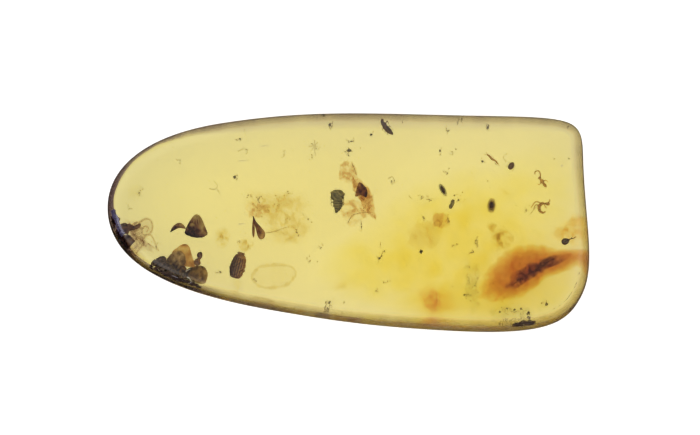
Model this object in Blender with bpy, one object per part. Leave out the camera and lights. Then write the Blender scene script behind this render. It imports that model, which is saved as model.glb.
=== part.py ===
"""Insect in amber: a polished, flattened piece of clear amber with insects and plant scraps sealed inside it.

The stone lies on its flat base, +Z up, with its rounded tip towards -X and its square end towards +X. It is
parted in two at one level, so that the pocket round each sealed piece opens onto the parting faces.
"""

import math

import bmesh
import bpy
import numpy as np
from mathutils import Vector
from mathutils.geometry import interpolate_bezier

MM = 0.001  # points, sizes and places below are in millimetres, and each mesh is scaled to metres once

# The stone: 38 mm long, 17.2 mm wide and 7 mm thick.
THICKNESS = 7.0
GIRDLE = 2.4  # height of its widest level
BASE_INSET = 1.0  # how far the flat base stays inside the widest outline
SHOULDER_INSET = 1.25  # the same for the shoulder, where the steep side turns into the domed top
SHOULDER_HEIGHT = 6.45
SHOULDER_LEAN = 0.35  # the shoulder is wider by this share on the +Y side, and narrower on the -Y side
SIDE_FULLNESS = 0.82  # share of the side's height that stays steep
CORNER_SHARE = 0.75  # an inset takes at most this share of the outline's own radius
STONE_SIDES = 72
# Anchors round the girdle, clockwise from the tip: x, y, heading in degrees, handle before, handle after.
OUTLINE = [
    (-19.0, 1.2, 89, 5.1, 3.2),
    (-10.1, 7.8, 9, 5.8, 7.5),
    (10.6, 8.4, -1, 8.7, 6.8),
    (18.55, 5.55, -89, 2.7, 5.75),
    (18.35, -5.9, -118, 2.7, 2.3),
    (8.25, -8.55, -183, 7.5, 5.7),
    (-5.8, -6.95, -190, 5.3, 6.4),
]

# The parting and the pockets
PARTING = 3.6  # height of the middle of the gap
GAP = 0.3  # between the halves, and between a sealed piece and its pocket
POCKET_SIDES = 12


def finish(name, colour, roughness, transmission=0.0):
    """A material of one plain colour, given as linear RGB."""
    made = bpy.data.materials.new(name)
    made.use_nodes = True
    shader = made.node_tree.nodes["Principled BSDF"]
    shader.inputs["Base Color"].default_value = (*colour, 1)
    shader.inputs["Roughness"].default_value = roughness
    shader.inputs["Metallic"].default_value = 0.0
    shader.inputs["Transmission Weight"].default_value = transmission
    made.diffuse_color = (*colour, 1)
    return made


def new_object(name, points, faces, material):
    """One closed mesh from points in millimetres, with its faces turned outwards."""
    mesh = bpy.data.meshes.new(name)
    mesh.from_pydata([Vector(point) * MM for point in points], [], faces)
    work = bmesh.new()
    work.from_mesh(mesh)
    bmesh.ops.recalc_face_normals(work, faces=work.faces)
    work.to_mesh(mesh)
    work.free()
    mesh.shade_smooth()
    mesh.set_sharp_from_angle(angle=math.radians(45))
    mesh.materials.append(material)
    made = bpy.data.objects.new(name, mesh)
    bpy.context.scene.collection.objects.link(made)
    return made


def loft(rings):
    """Points and faces of a skin over rings of equal count, closed at both ends by a fan."""
    count = len(rings[0])
    points = [tuple(point) for ring in rings for point in ring]
    faces = []
    for start in range(0, count * (len(rings) - 1), count):
        for i in range(count):
            j = (i + 1) % count
            faces.append((start + i, start + j, start + count + j, start + count + i))
    for start in (0, count * (len(rings) - 1)):
        middle = len(points)
        points.append(tuple(np.mean(points[start : start + count], axis=0)))
        faces += [(middle, start + i, start + (i + 1) % count) for i in range(count)]
    return points, faces


def eased(anchors, count, closed=False):
    """Rows of numbers read off a smooth curve through the anchor rows."""
    rows = np.array(anchors, float)
    last = len(rows) - 1
    made = []
    for place in np.linspace(0, len(rows) if closed else last, count, endpoint=not closed):
        i = int(place) if closed else min(int(place), last - 1)
        picked = [i - 1, i, i + 1, i + 2]
        picked = [k % len(rows) for k in picked] if closed else np.clip(picked, 0, last)
        a, b, c, d = rows[picked]
        t = place - i
        made.append(
            ((-a + 3 * b - 3 * c + d) * t**3 + (2 * a - 5 * b + 4 * c - d) * t**2 + (c - a) * t + 2 * b) / 2
        )
    return np.array(made)


def strand(stations, count, sides, ribs=0.0):
    """A body swept along its stations: x, y, z, half width, half height. Ribs run along it on every other point."""
    path = eased(stations, count)
    along = np.gradient(path[:, :2], axis=0)
    along /= np.linalg.norm(along, axis=1)[:, None]
    rings = []
    for (x, y, z, width, height), (dx, dy) in zip(path, along, strict=True):
        ring = []
        for k in range(sides):
            angle = math.tau * k / sides
            reach = 1 - ribs * (k % 2)
            side = max(width, 0.01) * reach * math.cos(angle)
            ring.append((x - dy * side, y + dx * side, z + max(height, 0.01) * reach * math.sin(angle)))
        rings.append(ring)
    return loft(rings)


def flake(outline, thickness, crown, count=20):
    """A thin scrap with the given outline: thin at its edge, thicker inside, and bowed up by its crown."""
    edge = eased(outline, count, closed=True)
    middle = edge.mean(axis=0)
    rings = []
    for share, side in ((0.5, -1), (0.9, -0.8), (1, 0), (0.9, 0.8), (0.5, 1)):
        height = side * thickness / 2 + crown * (1 - share**2)
        rings.append([(x, y, height) for x, y in middle + (edge - middle) * share])
    return loft(rings)


def joined(main, *others):
    """Fuses other closed shapes, which touch it, into the main object. They stay as hidden helpers."""
    for other in others:
        other.parent = main
        other.hide_render = True
        other.display_type = "WIRE"
        join = main.modifiers.new("join " + other.name, "BOOLEAN")
        join.operation = "UNION"
        join.object = other
    return main


def placed(piece, x, y, z, turn=0.0, lean=0.0, roll=0.0):
    """Puts a sealed piece in the stone: its middle in millimetres, its turn, lean and roll in degrees."""
    piece.location = Vector((x, y, z)) * MM
    piece.rotation_euler = (math.radians(lean), math.radians(roll), math.radians(turn))
    return piece


for existing in list(bpy.data.objects):
    bpy.data.objects.remove(existing)

amber_finish = finish("amber", (0.86, 0.70, 0.18), 0.05, transmission=0.9)
dark_shell = finish("dark_shell", (0.060, 0.030, 0.020), 0.35)
brown_shell = finish("brown_shell", (0.130, 0.060, 0.030), 0.40)
olive_shell = finish("olive_shell", (0.120, 0.100, 0.050), 0.45)
red_scrap = finish("red_scrap", (0.200, 0.050, 0.020), 0.50)
bark_scrap = finish("bark_scrap", (0.090, 0.060, 0.035), 0.70)
leaf_scrap_finish = finish("leaf_scrap", (0.360, 0.150, 0.035), 0.60)


# Insects

beetle = placed(
    new_object(
        "beetle",
        *strand(
            [
                (0, -1.03, 0, 0.16, 0.10),
                (0, -0.95, 0, 0.38, 0.22),
                (0, -0.55, 0, 0.55, 0.34),
                (0, 0.05, 0, 0.58, 0.38),
                (0, 0.45, 0, 0.50, 0.34),
                (0, 0.60, 0, 0.44, 0.28),
                (0, 0.85, 0, 0.36, 0.24),
                (0, 1.03, 0, 0.12, 0.08),
            ],
            count=13,
            sides=16,
            ribs=0.08,
        ),
        brown_shell,
    ),
    -8.6,
    -3.55,
    4.4,
    turn=-15,
)

stub_bug = placed(
    new_object(
        "stub_bug",
        *strand(
            [
                (0.00, 0.92, 0, 0.20, 0.12),
                (0.00, 0.80, 0, 0.40, 0.24),
                (0.00, 0.48, 0, 0.52, 0.32),
                (0.02, 0.22, 0, 0.46, 0.28),
                (0.03, 0.12, 0, 0.37, 0.24),
                (0.03, -0.20, 0, 0.38, 0.26),
                (0.00, -0.50, 0, 0.30, 0.20),
                (-0.12, -0.90, 0, 0.05, 0.05),
            ],
            count=13,
            sides=12,
        ),
        olive_shell,
    ),
    -0.85,
    1.35,
    4.6,
)

slender_beetle = placed(
    new_object(
        "slender_beetle",
        *strand(
            [
                (-0.64, 0, 0, 0.06, 0.05),
                (-0.52, 0, 0, 0.13, 0.10),
                (-0.40, 0, 0, 0.12, 0.10),
                (-0.28, 0, 0, 0.19, 0.15),
                (0.10, 0, 0, 0.22, 0.18),
                (0.45, 0, 0, 0.14, 0.11),
                (0.64, 0, 0, 0.03, 0.03),
            ],
            count=14,
            sides=10,
        ),
        dark_shell,
    ),
    3.05,
    7.0,
    4.6,
    turn=-42,
)

springtail_stations = []
for ring in range(11):
    waist = 0.105 if ring % 2 else 0.075
    taper = 1 - 0.5 * abs(ring - 4) / 6
    springtail_stations.append((-0.54 + 0.108 * ring, 0.03 * math.sin(ring), 0, waist * taper, waist * taper))
springtail = placed(
    new_object("springtail", *strand(springtail_stations, count=21, sides=8), olive_shell),
    11.3,
    4.65,
    4.8,
    turn=-38,
)

mite = placed(
    new_object(
        "mite",
        *strand(
            [
                (-0.32, 0, 0, 0.05, 0.04),
                (-0.26, 0, 0, 0.14, 0.12),
                (-0.02, 0, 0, 0.22, 0.18),
                (0.20, 0, 0, 0.17, 0.14),
                (0.32, 0, 0, 0.05, 0.04),
            ],
            count=9,
            sides=10,
        ),
        dark_shell,
    ),
    12.75,
    4.2,
    4.5,
    turn=58,
)

gnat_body = new_object(
    "gnat",
    *strand(
        [
            (-0.50, 0, 0, 0.05, 0.05),
            (-0.40, 0, 0, 0.13, 0.12),
            (-0.26, 0, 0, 0.09, 0.09),
            (-0.08, 0, 0, 0.17, 0.16),
            (0.12, 0, 0, 0.10, 0.09),
            (0.32, 0, 0, 0.13, 0.11),
            (0.50, 0, 0, 0.04, 0.04),
        ],
        count=13,
        sides=10,
    ),
    brown_shell,
)
gnat_feeler = new_object(
    "gnat_feeler",
    *strand(
        [
            (-0.40, 0.02, 0, 0.035, 0.035),
            (-0.62, 0.22, 0, 0.035, 0.035),
            (-0.90, 0.24, 0, 0.035, 0.035),
            (-1.00, 0.00, 0, 0.035, 0.035),
            (-0.84, -0.14, 0, 0.030, 0.030),
        ],
        count=11,
        sides=6,
    ),
    brown_shell,
)
gnat = placed(joined(gnat_body, gnat_feeler), 15.2, 2.9, 4.8, turn=-55)

midge_body = new_object(
    "midge",
    *strand(
        [
            (0.52, 0.28, 0, 0.04, 0.05),
            (0.42, 0.20, 0, 0.15, 0.14),
            (0.16, 0.22, 0, 0.10, 0.10),
            (-0.06, 0.22, 0, 0.13, 0.12),
            (-0.28, -0.02, 0, 0.14, 0.13),
            (-0.24, -0.34, 0, 0.12, 0.11),
            (0.00, -0.50, 0, 0.09, 0.09),
            (0.22, -0.40, 0, 0.04, 0.04),
        ],
        count=19,
        sides=8,
    ),
    brown_shell,
)
midge_legs = [
    new_object(f"midge_leg_{side}", *strand(stations, count=7, sides=6), brown_shell)
    for side, stations in (
        ("near", [(-0.10, 0.20, 0, 0.03, 0.03), (-0.55, 0.36, 0, 0.03, 0.03), (-0.92, -0.12, 0, 0.03, 0.03)]),
        ("far", [(-0.20, 0.05, 0, 0.03, 0.03), (-0.56, 0.10, 0, 0.03, 0.03), (-0.72, -0.24, 0, 0.03, 0.03)]),
    )
]
midge = placed(joined(midge_body, *midge_legs), 15.2, 1.0, 4.7)

pupa = placed(
    new_object(
        "pupa",
        *strand(
            [
                (-0.56, 0, 0, 0.05, 0.05),
                (-0.42, 0, 0, 0.18, 0.16),
                (-0.05, 0, 0, 0.25, 0.22),
                (0.30, 0, 0, 0.19, 0.16),
                (0.56, 0, 0, 0.05, 0.05),
            ],
            count=11,
            sides=10,
        ),
        olive_shell,
    ),
    7.4,
    2.3,
    4.2,
    turn=-62,
)

cocoon = placed(
    new_object(
        "cocoon",
        *strand(
            [
                (0, -0.58, 0, 0.12, 0.10),
                (0, -0.46, 0, 0.26, 0.22),
                (0, 0.00, 0, 0.36, 0.30),
                (0, 0.44, 0, 0.25, 0.21),
                (0, 0.58, 0, 0.12, 0.10),
            ],
            count=11,
            sides=12,
        ),
        olive_shell,
    ),
    11.2,
    1.1,
    4.3,
)


# Wings, scales and seeds

left_blade = new_object(
    "left_blade",
    *strand(
        [
            (-0.36, 0.80, 0, 0.04, 0.04),
            (-0.38, 0.30, 0, 0.08, 0.05),
            (-0.36, -0.30, 0, 0.10, 0.05),
            (-0.34, -0.74, 0, 0.06, 0.04),
        ],
        count=8,
        sides=6,
    ),
    red_scrap,
)
right_blade = new_object(
    "wing_pair",
    *strand(
        [
            (-0.38, 0.86, 0, 0.06, 0.05),
            (-0.20, 0.45, 0, 0.15, 0.08),
            (0.00, 0.02, 0, 0.26, 0.10),
            (0.20, -0.40, 0, 0.36, 0.10),
            (0.24, -0.72, 0, 0.28, 0.07),
            (0.22, -0.90, 0, 0.10, 0.04),
        ],
        count=12,
        sides=8,
    ),
    red_scrap,
)
wing_pair = placed(joined(right_blade, left_blade), -7.05, -0.65, 4.8)

wedge_scale = placed(
    new_object(
        "wedge_scale",
        *flake(
            [
                (-0.04, 0.95),
                (0.34, 0.70),
                (0.62, 0.05),
                (0.86, -0.55),
                (0.50, -0.86),
                (-0.20, -0.84),
                (-0.84, -0.58),
                (-0.42, 0.20),
            ],
            thickness=0.32,
            crown=0.22,
            count=24,
        ),
        dark_shell,
    ),
    -11.9,
    -0.55,
    4.3,
)

crescent_husk = placed(
    new_object(
        "crescent_husk",
        *strand(
            [
                (-0.62, -0.40, 0, 0.04, 0.04),
                (-0.42, 0.02, 0, 0.13, 0.07),
                (-0.08, 0.26, 0, 0.18, 0.08),
                (0.28, 0.20, 0, 0.12, 0.06),
                (0.50, 0.02, 0, 0.04, 0.04),
            ],
            count=11,
            sides=8,
        ),
        olive_shell,
    ),
    -13.25,
    -0.65,
    4.35,
)

stalked_seed = placed(
    joined(
        new_object(
            "stalked_seed",
            *strand(
                [
                    (-0.30, 0, 0, 0.08, 0.08),
                    (-0.20, 0, 0, 0.22, 0.20),
                    (0.05, 0, 0, 0.27, 0.24),
                    (0.26, 0, 0, 0.14, 0.12),
                    (0.32, 0, 0, 0.05, 0.05),
                ],
                count=9,
                sides=10,
            ),
            dark_shell,
        ),
        new_object(
            "seed_stalk",
            *strand(
                [
                    (0.20, 0.00, 0, 0.06, 0.06),
                    (0.45, 0.03, 0, 0.05, 0.05),
                    (0.70, 0.00, 0, 0.04, 0.04),
                    (0.86, 0.05, 0, 0.02, 0.02),
                ],
                count=7,
                sides=6,
            ),
            dark_shell,
        ),
    ),
    16.95,
    -1.75,
    4.5,
    turn=22,
)

frass_rod = placed(
    new_object(
        "frass_rod",
        *strand(
            [
                (-0.38, 0, 0, 0.09, 0.08),
                (-0.20, 0.02, 0, 0.16, 0.14),
                (0.02, -0.02, 0, 0.14, 0.12),
                (0.22, 0.02, 0, 0.16, 0.14),
                (0.38, 0, 0, 0.08, 0.07),
            ],
            count=10,
            sides=8,
        ),
        olive_shell,
    ),
    8.1,
    1.2,
    4.2,
    turn=68,
)


# Plant scraps heaped at the lower left

bark_flap = placed(
    new_object(
        "bark_flap",
        *flake(
            [
                (-0.99, -0.08),
                (-0.67, 0.40),
                (-0.04, 0.79),
                (0.67, 1.05),
                (0.91, 0.55),
                (0.91, -0.40),
                (0.59, -1.00),
                (-0.20, -0.95),
                (-0.83, -0.50),
            ],
            thickness=0.34,
            crown=0.30,
        ),
        bark_scrap,
    ),
    -13.45,
    -3.00,
    4.75,
)

leaf_scrap = placed(
    new_object(
        "leaf_scrap",
        *flake(
            [
                (-0.51, 0.92),
                (0.04, 0.83),
                (0.16, 0.32),
                (0.36, -0.16),
                (0.55, -0.75),
                (0.12, -0.95),
                (-0.36, -0.63),
                (-0.51, 0.16),
            ],
            thickness=0.20,
            crown=0.10,
        ),
        leaf_scrap_finish,
    ),
    -12.35,
    -2.90,
    4.05,
)

seed_disc = placed(
    new_object(
        "seed_disc",
        *flake(
            [
                (-0.22, 0.82),
                (0.30, 0.78),
                (0.72, 0.36),
                (0.78, -0.16),
                (0.47, -0.62),
                (-0.05, -0.74),
                (-0.58, -0.55),
                (-0.80, -0.05),
                (-0.66, 0.48),
            ],
            thickness=0.42,
            crown=0.25,
        ),
        bark_scrap,
    ),
    -11.75,
    -4.14,
    2.75,
)

bud_stalk = placed(
    new_object(
        "bud_stalk",
        *strand(
            [
                (0.02, 0.50, 0, 0.05, 0.05),
                (0.05, 0.32, 0, 0.17, 0.15),
                (0.03, 0.10, 0, 0.10, 0.09),
                (-0.04, -0.16, 0, 0.22, 0.18),
                (-0.08, -0.42, 0, 0.12, 0.10),
                (-0.10, -0.52, 0, 0.05, 0.05),
            ],
            count=12,
            sides=8,
        ),
        brown_shell,
    ),
    -11.70,
    -3.10,
    5.05,
)

rim_crumb = placed(
    new_object(
        "rim_crumb",
        *strand(
            [
                (-1.25, 0.00, 0, 0.10, 0.12),
                (-0.95, 0.02, 0, 0.24, 0.30),
                (-0.50, 0.04, 0, 0.34, 0.40),
                (0.00, 0.06, 0, 0.46, 0.50),
                (0.45, 0.10, 0, 0.50, 0.46),
                (0.78, 0.08, 0, 0.36, 0.30),
                (0.98, 0.04, 0, 0.12, 0.12),
            ],
            count=12,
            sides=10,
        ),
        bark_scrap,
    ),
    -14.05,
    -3.50,
    2.65,
    turn=-25,
)


# Husk and crumb at the rounded tip

husk_roll = placed(
    new_object(
        "husk_roll",
        *strand(
            [
                (-0.30, 0.85, 0, 0.12, 0.08),
                (0.25, 0.95, 0, 0.22, 0.14),
                (0.62, 0.60, 0, 0.26, 0.18),
                (0.42, 0.10, 0, 0.30, 0.22),
                (-0.02, -0.20, 0, 0.28, 0.20),
                (-0.12, -0.65, 0, 0.24, 0.16),
                (0.25, -0.95, 0, 0.12, 0.08),
            ],
            count=15,
            sides=8,
        ),
        brown_shell,
    ),
    -16.62,
    -1.30,
    4.4,
)

tip_crumb = placed(
    new_object(
        "tip_crumb",
        *strand(
            [
                (-0.25, 0.85, 0, 0.08, 0.10),
                (-0.20, 0.55, 0, 0.28, 0.30),
                (0.00, 0.10, 0, 0.22, 0.28),
                (0.22, -0.35, 0, 0.34, 0.32),
                (0.50, -0.75, 0, 0.24, 0.24),
                (0.62, -0.95, 0, 0.08, 0.08),
            ],
            count=12,
            sides=9,
        ),
        dark_shell,
    ),
    -17.38,
    -1.00,
    2.65,
)


# Scraps in the middle and at the square end

red_scale = placed(
    new_object(
        "red_scale",
        *flake(
            [
                (-0.15, 0.55),
                (0.22, 0.32),
                (0.50, -0.10),
                (0.42, -0.62),
                (0.00, -0.46),
                (-0.46, -0.55),
                (-0.36, 0.00),
            ],
            thickness=0.18,
            crown=0.12,
        ),
        red_scrap,
    ),
    1.0,
    2.3,
    4.6,
    roll=-12,
)

leaf_flake = placed(
    new_object(
        "leaf_flake",
        *flake(
            [
                (-0.40, 0.42),
                (0.10, 0.56),
                (0.42, 0.40),
                (0.36, -0.20),
                (0.16, -0.54),
                (-0.30, -0.46),
                (-0.46, 0.00),
            ],
            thickness=0.12,
            crown=0.06,
        ),
        leaf_scrap_finish,
    ),
    7.05,
    0.05,
    2.7,
)

leaf_blade = placed(
    new_object(
        "leaf_blade",
        *strand(
            [
                (-2.05, 0.00, 0, 0.03, 0.04),
                (-1.45, 0.05, 0, 0.09, 0.08),
                (-0.70, -0.05, 0, 0.16, 0.12),
                (0.20, 0.00, 0, 0.22, 0.16),
                (1.10, 0.12, 0, 0.26, 0.18),
                (1.75, 0.05, 0, 0.20, 0.14),
                (2.10, 0.00, 0, 0.06, 0.05),
            ],
            count=17,
            sides=8,
        ),
        brown_shell,
    ),
    14.55,
    -3.95,
    3.4,
    turn=33,
)

edge_chip = placed(
    new_object(
        "edge_chip",
        *flake(
            [
                (-0.55, -0.16),
                (-0.30, 0.16),
                (0.10, 0.26),
                (0.45, 0.14),
                (0.58, -0.14),
                (0.00, -0.20),
            ],
            thickness=0.24,
            crown=0.10,
            count=16,
        ),
        dark_shell,
    ),
    13.70,
    -8.20,
    2.8,
)

SEALED = [
    beetle,
    stub_bug,
    slender_beetle,
    springtail,
    mite,
    gnat,
    midge,
    pupa,
    cocoon,
    wing_pair,
    wedge_scale,
    crescent_husk,
    stalked_seed,
    frass_rod,
    bark_flap,
    leaf_scrap,
    seed_disc,
    bud_stalk,
    rim_crumb,
    husk_roll,
    tip_crumb,
    red_scale,
    leaf_flake,
    leaf_blade,
    edge_chip,
]


# The stone's two halves, with the pockets cut out of them


def girdle():
    """Evenly spaced points of the widest outline, the way out at each, and its radius there."""
    curve = []
    for here, after in zip(OUTLINE, OUTLINE[1:] + OUTLINE[:1], strict=True):
        start = Vector((here[0], here[1], 0))
        end = Vector((after[0], after[1], 0))
        leave = Vector((math.cos(math.radians(here[2])), math.sin(math.radians(here[2])), 0)) * here[4]
        arrive = Vector((math.cos(math.radians(after[2])), math.sin(math.radians(after[2])), 0)) * after[3]
        curve += interpolate_bezier(start, start + leave, end - arrive, end, 80)[:-1]
    curve = np.array([(point.x, point.y) for point in curve])
    walked = np.vstack([curve, curve[:1]])
    run = np.concatenate([[0], np.cumsum(np.linalg.norm(np.diff(walked, axis=0), axis=1))])
    stops = np.linspace(0, run[-1], STONE_SIDES, endpoint=False)
    points = np.column_stack([np.interp(stops, run, walked[:, 0]), np.interp(stops, run, walked[:, 1])])
    along = (np.roll(points, -1, axis=0) - np.roll(points, 1, axis=0)) / 2
    bend = np.roll(points, -1, axis=0) - 2 * points + np.roll(points, 1, axis=0)
    speed = np.linalg.norm(along, axis=1)
    out = np.column_stack([-along[:, 1], along[:, 0]]) / speed[:, None]
    curvature = np.abs(along[:, 0] * bend[:, 1] - along[:, 1] * bend[:, 0]) / speed**3
    return points, out, 1 / np.maximum(curvature, 0.01)


def profile(start, start_pull, end_pull, end, count):
    """Points of one stretch of the side's section, as inset and height."""
    bend = [Vector((*point, 0)) for point in (start, start_pull, end_pull, end)]
    return [(point.x, point.y) for point in interpolate_bezier(*bend, count)]


def stone():
    """Points and faces of the whole stone: flat base, rounded foot, steep side, shoulder and domed top."""
    points, out, radius = girdle()
    middle = points.mean(axis=0)
    foot_share = np.minimum(1, CORNER_SHARE * radius / BASE_INSET)
    shoulder_share = 1 + SHOULDER_LEAN * out[:, 1]
    shoulder_share = np.minimum(shoulder_share, CORNER_SHARE * radius / SHOULDER_INSET)
    shoulder_share = (np.roll(shoulder_share, 1) + 2 * shoulder_share + np.roll(shoulder_share, -1)) / 4

    def ring(inset, height, share):
        return np.column_stack([points - out * (inset * share)[:, None], np.full(STONE_SIDES, height)])

    foot = profile((BASE_INSET, 0), (BASE_INSET * 0.45, 0), (0, GIRDLE * 0.45), (0, GIRDLE), 6)
    rise = SHOULDER_HEIGHT - GIRDLE
    side = profile(
        (0, GIRDLE),
        (0, GIRDLE + rise * SIDE_FULLNESS),
        (SHOULDER_INSET * 0.4, SHOULDER_HEIGHT - 0.1),
        (SHOULDER_INSET, SHOULDER_HEIGHT),
        8,
    )
    rings = [ring(inset, height, foot_share) for inset, height in foot]
    rings += [ring(inset, height, shoulder_share) for inset, height in side[1:]]
    shoulder = rings[-1]
    for share in (0.85, 0.6, 0.3):
        dome = middle + (shoulder[:, :2] - middle) * share
        height = SHOULDER_HEIGHT + (THICKNESS - SHOULDER_HEIGHT) * (1 - share**2) / (1 - 0.3**2)
        rings.append(np.column_stack([dome, np.full(STONE_SIDES, height)]))
    return loft(rings)


def pocket(piece, upper):
    """A prism round a sealed piece, on one side of the parting, or nothing if the piece stays off that side."""
    shapes = [piece, *piece.children]
    corners = np.array([shape.matrix_world @ vertex.co for shape in shapes for vertex in shape.data.vertices]) / MM
    low, high = corners[:, 2].min() - GAP, corners[:, 2].max() + GAP
    if upper:
        low = PARTING
    else:
        high = PARTING
    if high - low < GAP:
        return None
    angles = piece.rotation_euler.z + math.tau * np.arange(POCKET_SIDES) / POCKET_SIDES
    ways = np.column_stack([np.cos(angles), np.sin(angles)])
    reach = (corners[:, :2] @ ways.T).max(axis=0) + GAP
    rim = []
    for k in range(POCKET_SIDES):
        pair = [k, (k + 1) % POCKET_SIDES]
        rim.append(np.linalg.solve(ways[pair], reach[pair]))
    rings = [[(x, y, height) for x, y in rim] for height in (low, high)]
    return loft(rings)


def half(name, upper):
    """One half of the stone, cut off level at the parting, with its pockets open onto that face."""
    made = new_object(name, *stone(), amber_finish)
    level = (PARTING + (GAP if upper else -GAP) / 2) * MM
    work = bmesh.new()
    work.from_mesh(made.data)
    cut = bmesh.ops.bisect_plane(
        work,
        geom=work.verts[:] + work.edges[:] + work.faces[:],
        plane_co=(0, 0, level),
        plane_no=(0, 0, 1),
        clear_inner=upper,
        clear_outer=not upper,
    )
    rim = [item for item in cut["geom_cut"] if isinstance(item, bmesh.types.BMEdge)]
    bmesh.ops.edgeloop_fill(work, edges=rim)
    bmesh.ops.recalc_face_normals(work, faces=work.faces)
    work.to_mesh(made.data)
    work.free()
    for piece in SEALED:
        shape = pocket(piece, upper)
        if shape is None:
            continue
        cutter = new_object(f"{name}_pocket_{piece.name}", *shape, amber_finish)
        cutter.hide_render = True
        cutter.display_type = "WIRE"
        hollow = made.modifiers.new("pocket " + piece.name, "BOOLEAN")
        hollow.operation = "DIFFERENCE"
        hollow.object = cutter
    return made


bpy.context.view_layer.update()
amber_lower = half("amber_lower", upper=False)
amber_upper = half("amber_upper", upper=True)
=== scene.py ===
"""Dresses the insect in amber: a clear polished stone with insects, plant scraps and stains sealed inside."""

import math

import bmesh
import bpy
import numpy as np
from mathutils import Euler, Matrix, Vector, noise
from mathutils.bvhtree import BVHTree
from mathutils.geometry import interpolate_bezier


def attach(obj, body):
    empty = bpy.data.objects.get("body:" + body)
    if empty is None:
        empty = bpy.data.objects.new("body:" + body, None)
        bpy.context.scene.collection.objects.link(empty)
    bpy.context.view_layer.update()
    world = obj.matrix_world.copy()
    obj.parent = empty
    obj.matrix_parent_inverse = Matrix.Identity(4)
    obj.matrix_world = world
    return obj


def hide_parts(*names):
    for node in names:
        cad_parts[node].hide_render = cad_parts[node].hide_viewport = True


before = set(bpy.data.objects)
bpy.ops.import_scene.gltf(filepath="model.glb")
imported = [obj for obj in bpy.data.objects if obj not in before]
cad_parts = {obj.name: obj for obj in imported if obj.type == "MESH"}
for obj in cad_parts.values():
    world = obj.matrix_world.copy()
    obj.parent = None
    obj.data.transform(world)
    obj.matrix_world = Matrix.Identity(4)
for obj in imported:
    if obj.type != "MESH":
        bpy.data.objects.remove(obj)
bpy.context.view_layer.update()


# The stone: one lump of clear yellow amber, sawn flat underneath, ground to a steep side and a low dome,
# and polished by hand. The solids part it in two round the sealed pieces, and here one clear body stands
# for both.

MM = 0.001  # every section gives its places and sizes in millimetres, in the frame of the solids
STONE_HEIGHT = 7.0
GIRDLE_HEIGHT = 2.4  # its widest level
FOOT_INSET = 1.0
SHOULDER_INSET = 1.25
SHOULDER_HEIGHT = 6.45
SHOULDER_LEAN = 0.35
SIDE_FULLNESS = 0.82
CORNER_SHARE = 0.75
CORNER_SMOOTHINGS = 16
STONE_SIDES = 288
FOOT_ROUNDNESS = 0.45
POLISH_WAVE = 0.02  # how far hand polishing left the dome and sides uneven
POLISH_WAVE_LENGTH = 3.5
GIRDLE_ANCHORS = [  # x, y, heading in degrees, handle before, handle after
    (-19.0, 1.2, 89, 5.1, 3.2), (-10.1, 7.8, 9, 5.8, 7.5), (10.6, 8.4, -1, 8.7, 6.8),
    (18.55, 5.55, -89, 2.7, 5.75), (18.35, -5.9, -118, 2.7, 2.3), (8.25, -8.55, -183, 7.5, 5.7),
    (-5.8, -6.95, -190, 5.3, 6.4),
]


def linear(code):
    """An sRGB hex colour as linear RGBA."""
    parts = [int(code[i : i + 2], 16) / 255 for i in (1, 3, 5)]
    return [p / 12.92 if p <= 0.04045 else ((p + 0.055) / 1.055) ** 2.4 for p in parts] + [1]


def add_node(tree, kind, inputs=None, stops=None, **settings):
    """A node with its settings, its inputs as values or as sockets to link from, and a ramp's stops."""
    node = tree.nodes.new(kind)
    for setting, value in settings.items():
        setattr(node, setting, value)
    for key, value in (inputs or {}).items():
        if isinstance(value, bpy.types.NodeSocket):
            tree.links.new(value, node.inputs[key])
        else:
            node.inputs[key].default_value = value
    if stops:
        elements = node.color_ramp.elements
        while len(elements) < len(stops):
            elements.new(0.5)
        for element, (place, colour) in zip(elements, stops, strict=True):
            element.position = place
            element.color = linear(colour)
    return node


def loft(rings):
    """Points and faces of a skin over rings of equal count, closed at both ends by a fan."""
    rings = np.array(rings, float)
    count = rings.shape[1]
    points = rings.reshape(-1, 3)
    i = np.arange(count)
    j = (i + 1) % count
    faces = []
    for start in range(0, count * (len(rings) - 1), count):
        faces += np.column_stack([start + i, start + j, start + count + j, start + count + i]).tolist()
    for start in (0, count * (len(rings) - 1)):
        middle = len(points)
        points = np.vstack([points, points[start : start + count].mean(axis=0)])
        faces += [(middle, start + k, start + (k + 1) % count) for k in range(count)]
    return points, faces


def piece(name, shape, material, replaced=()):
    """One closed mesh in place, from points in millimetres, riding on the stone's one body."""
    points, faces = shape[:2]
    mesh = bpy.data.meshes.new(name)
    mesh.from_pydata((np.array(points) * MM).tolist(), [], faces)
    if len(shape) > 2:
        tone = mesh.attributes.new("tone", "FLOAT", "POINT")
        tone.data.foreach_set("value", np.clip(shape[2], 0, 1).astype(np.float32))
    work = bmesh.new()
    work.from_mesh(mesh)
    bmesh.ops.recalc_face_normals(work, faces=work.faces)
    work.to_mesh(mesh)
    work.free()
    mesh.shade_smooth()
    mesh.materials.append(material)
    made = bpy.data.objects.new(name, mesh)
    bpy.context.scene.collection.objects.link(made)
    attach(made, "root")
    if replaced:
        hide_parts(*replaced)
    return made


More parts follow.
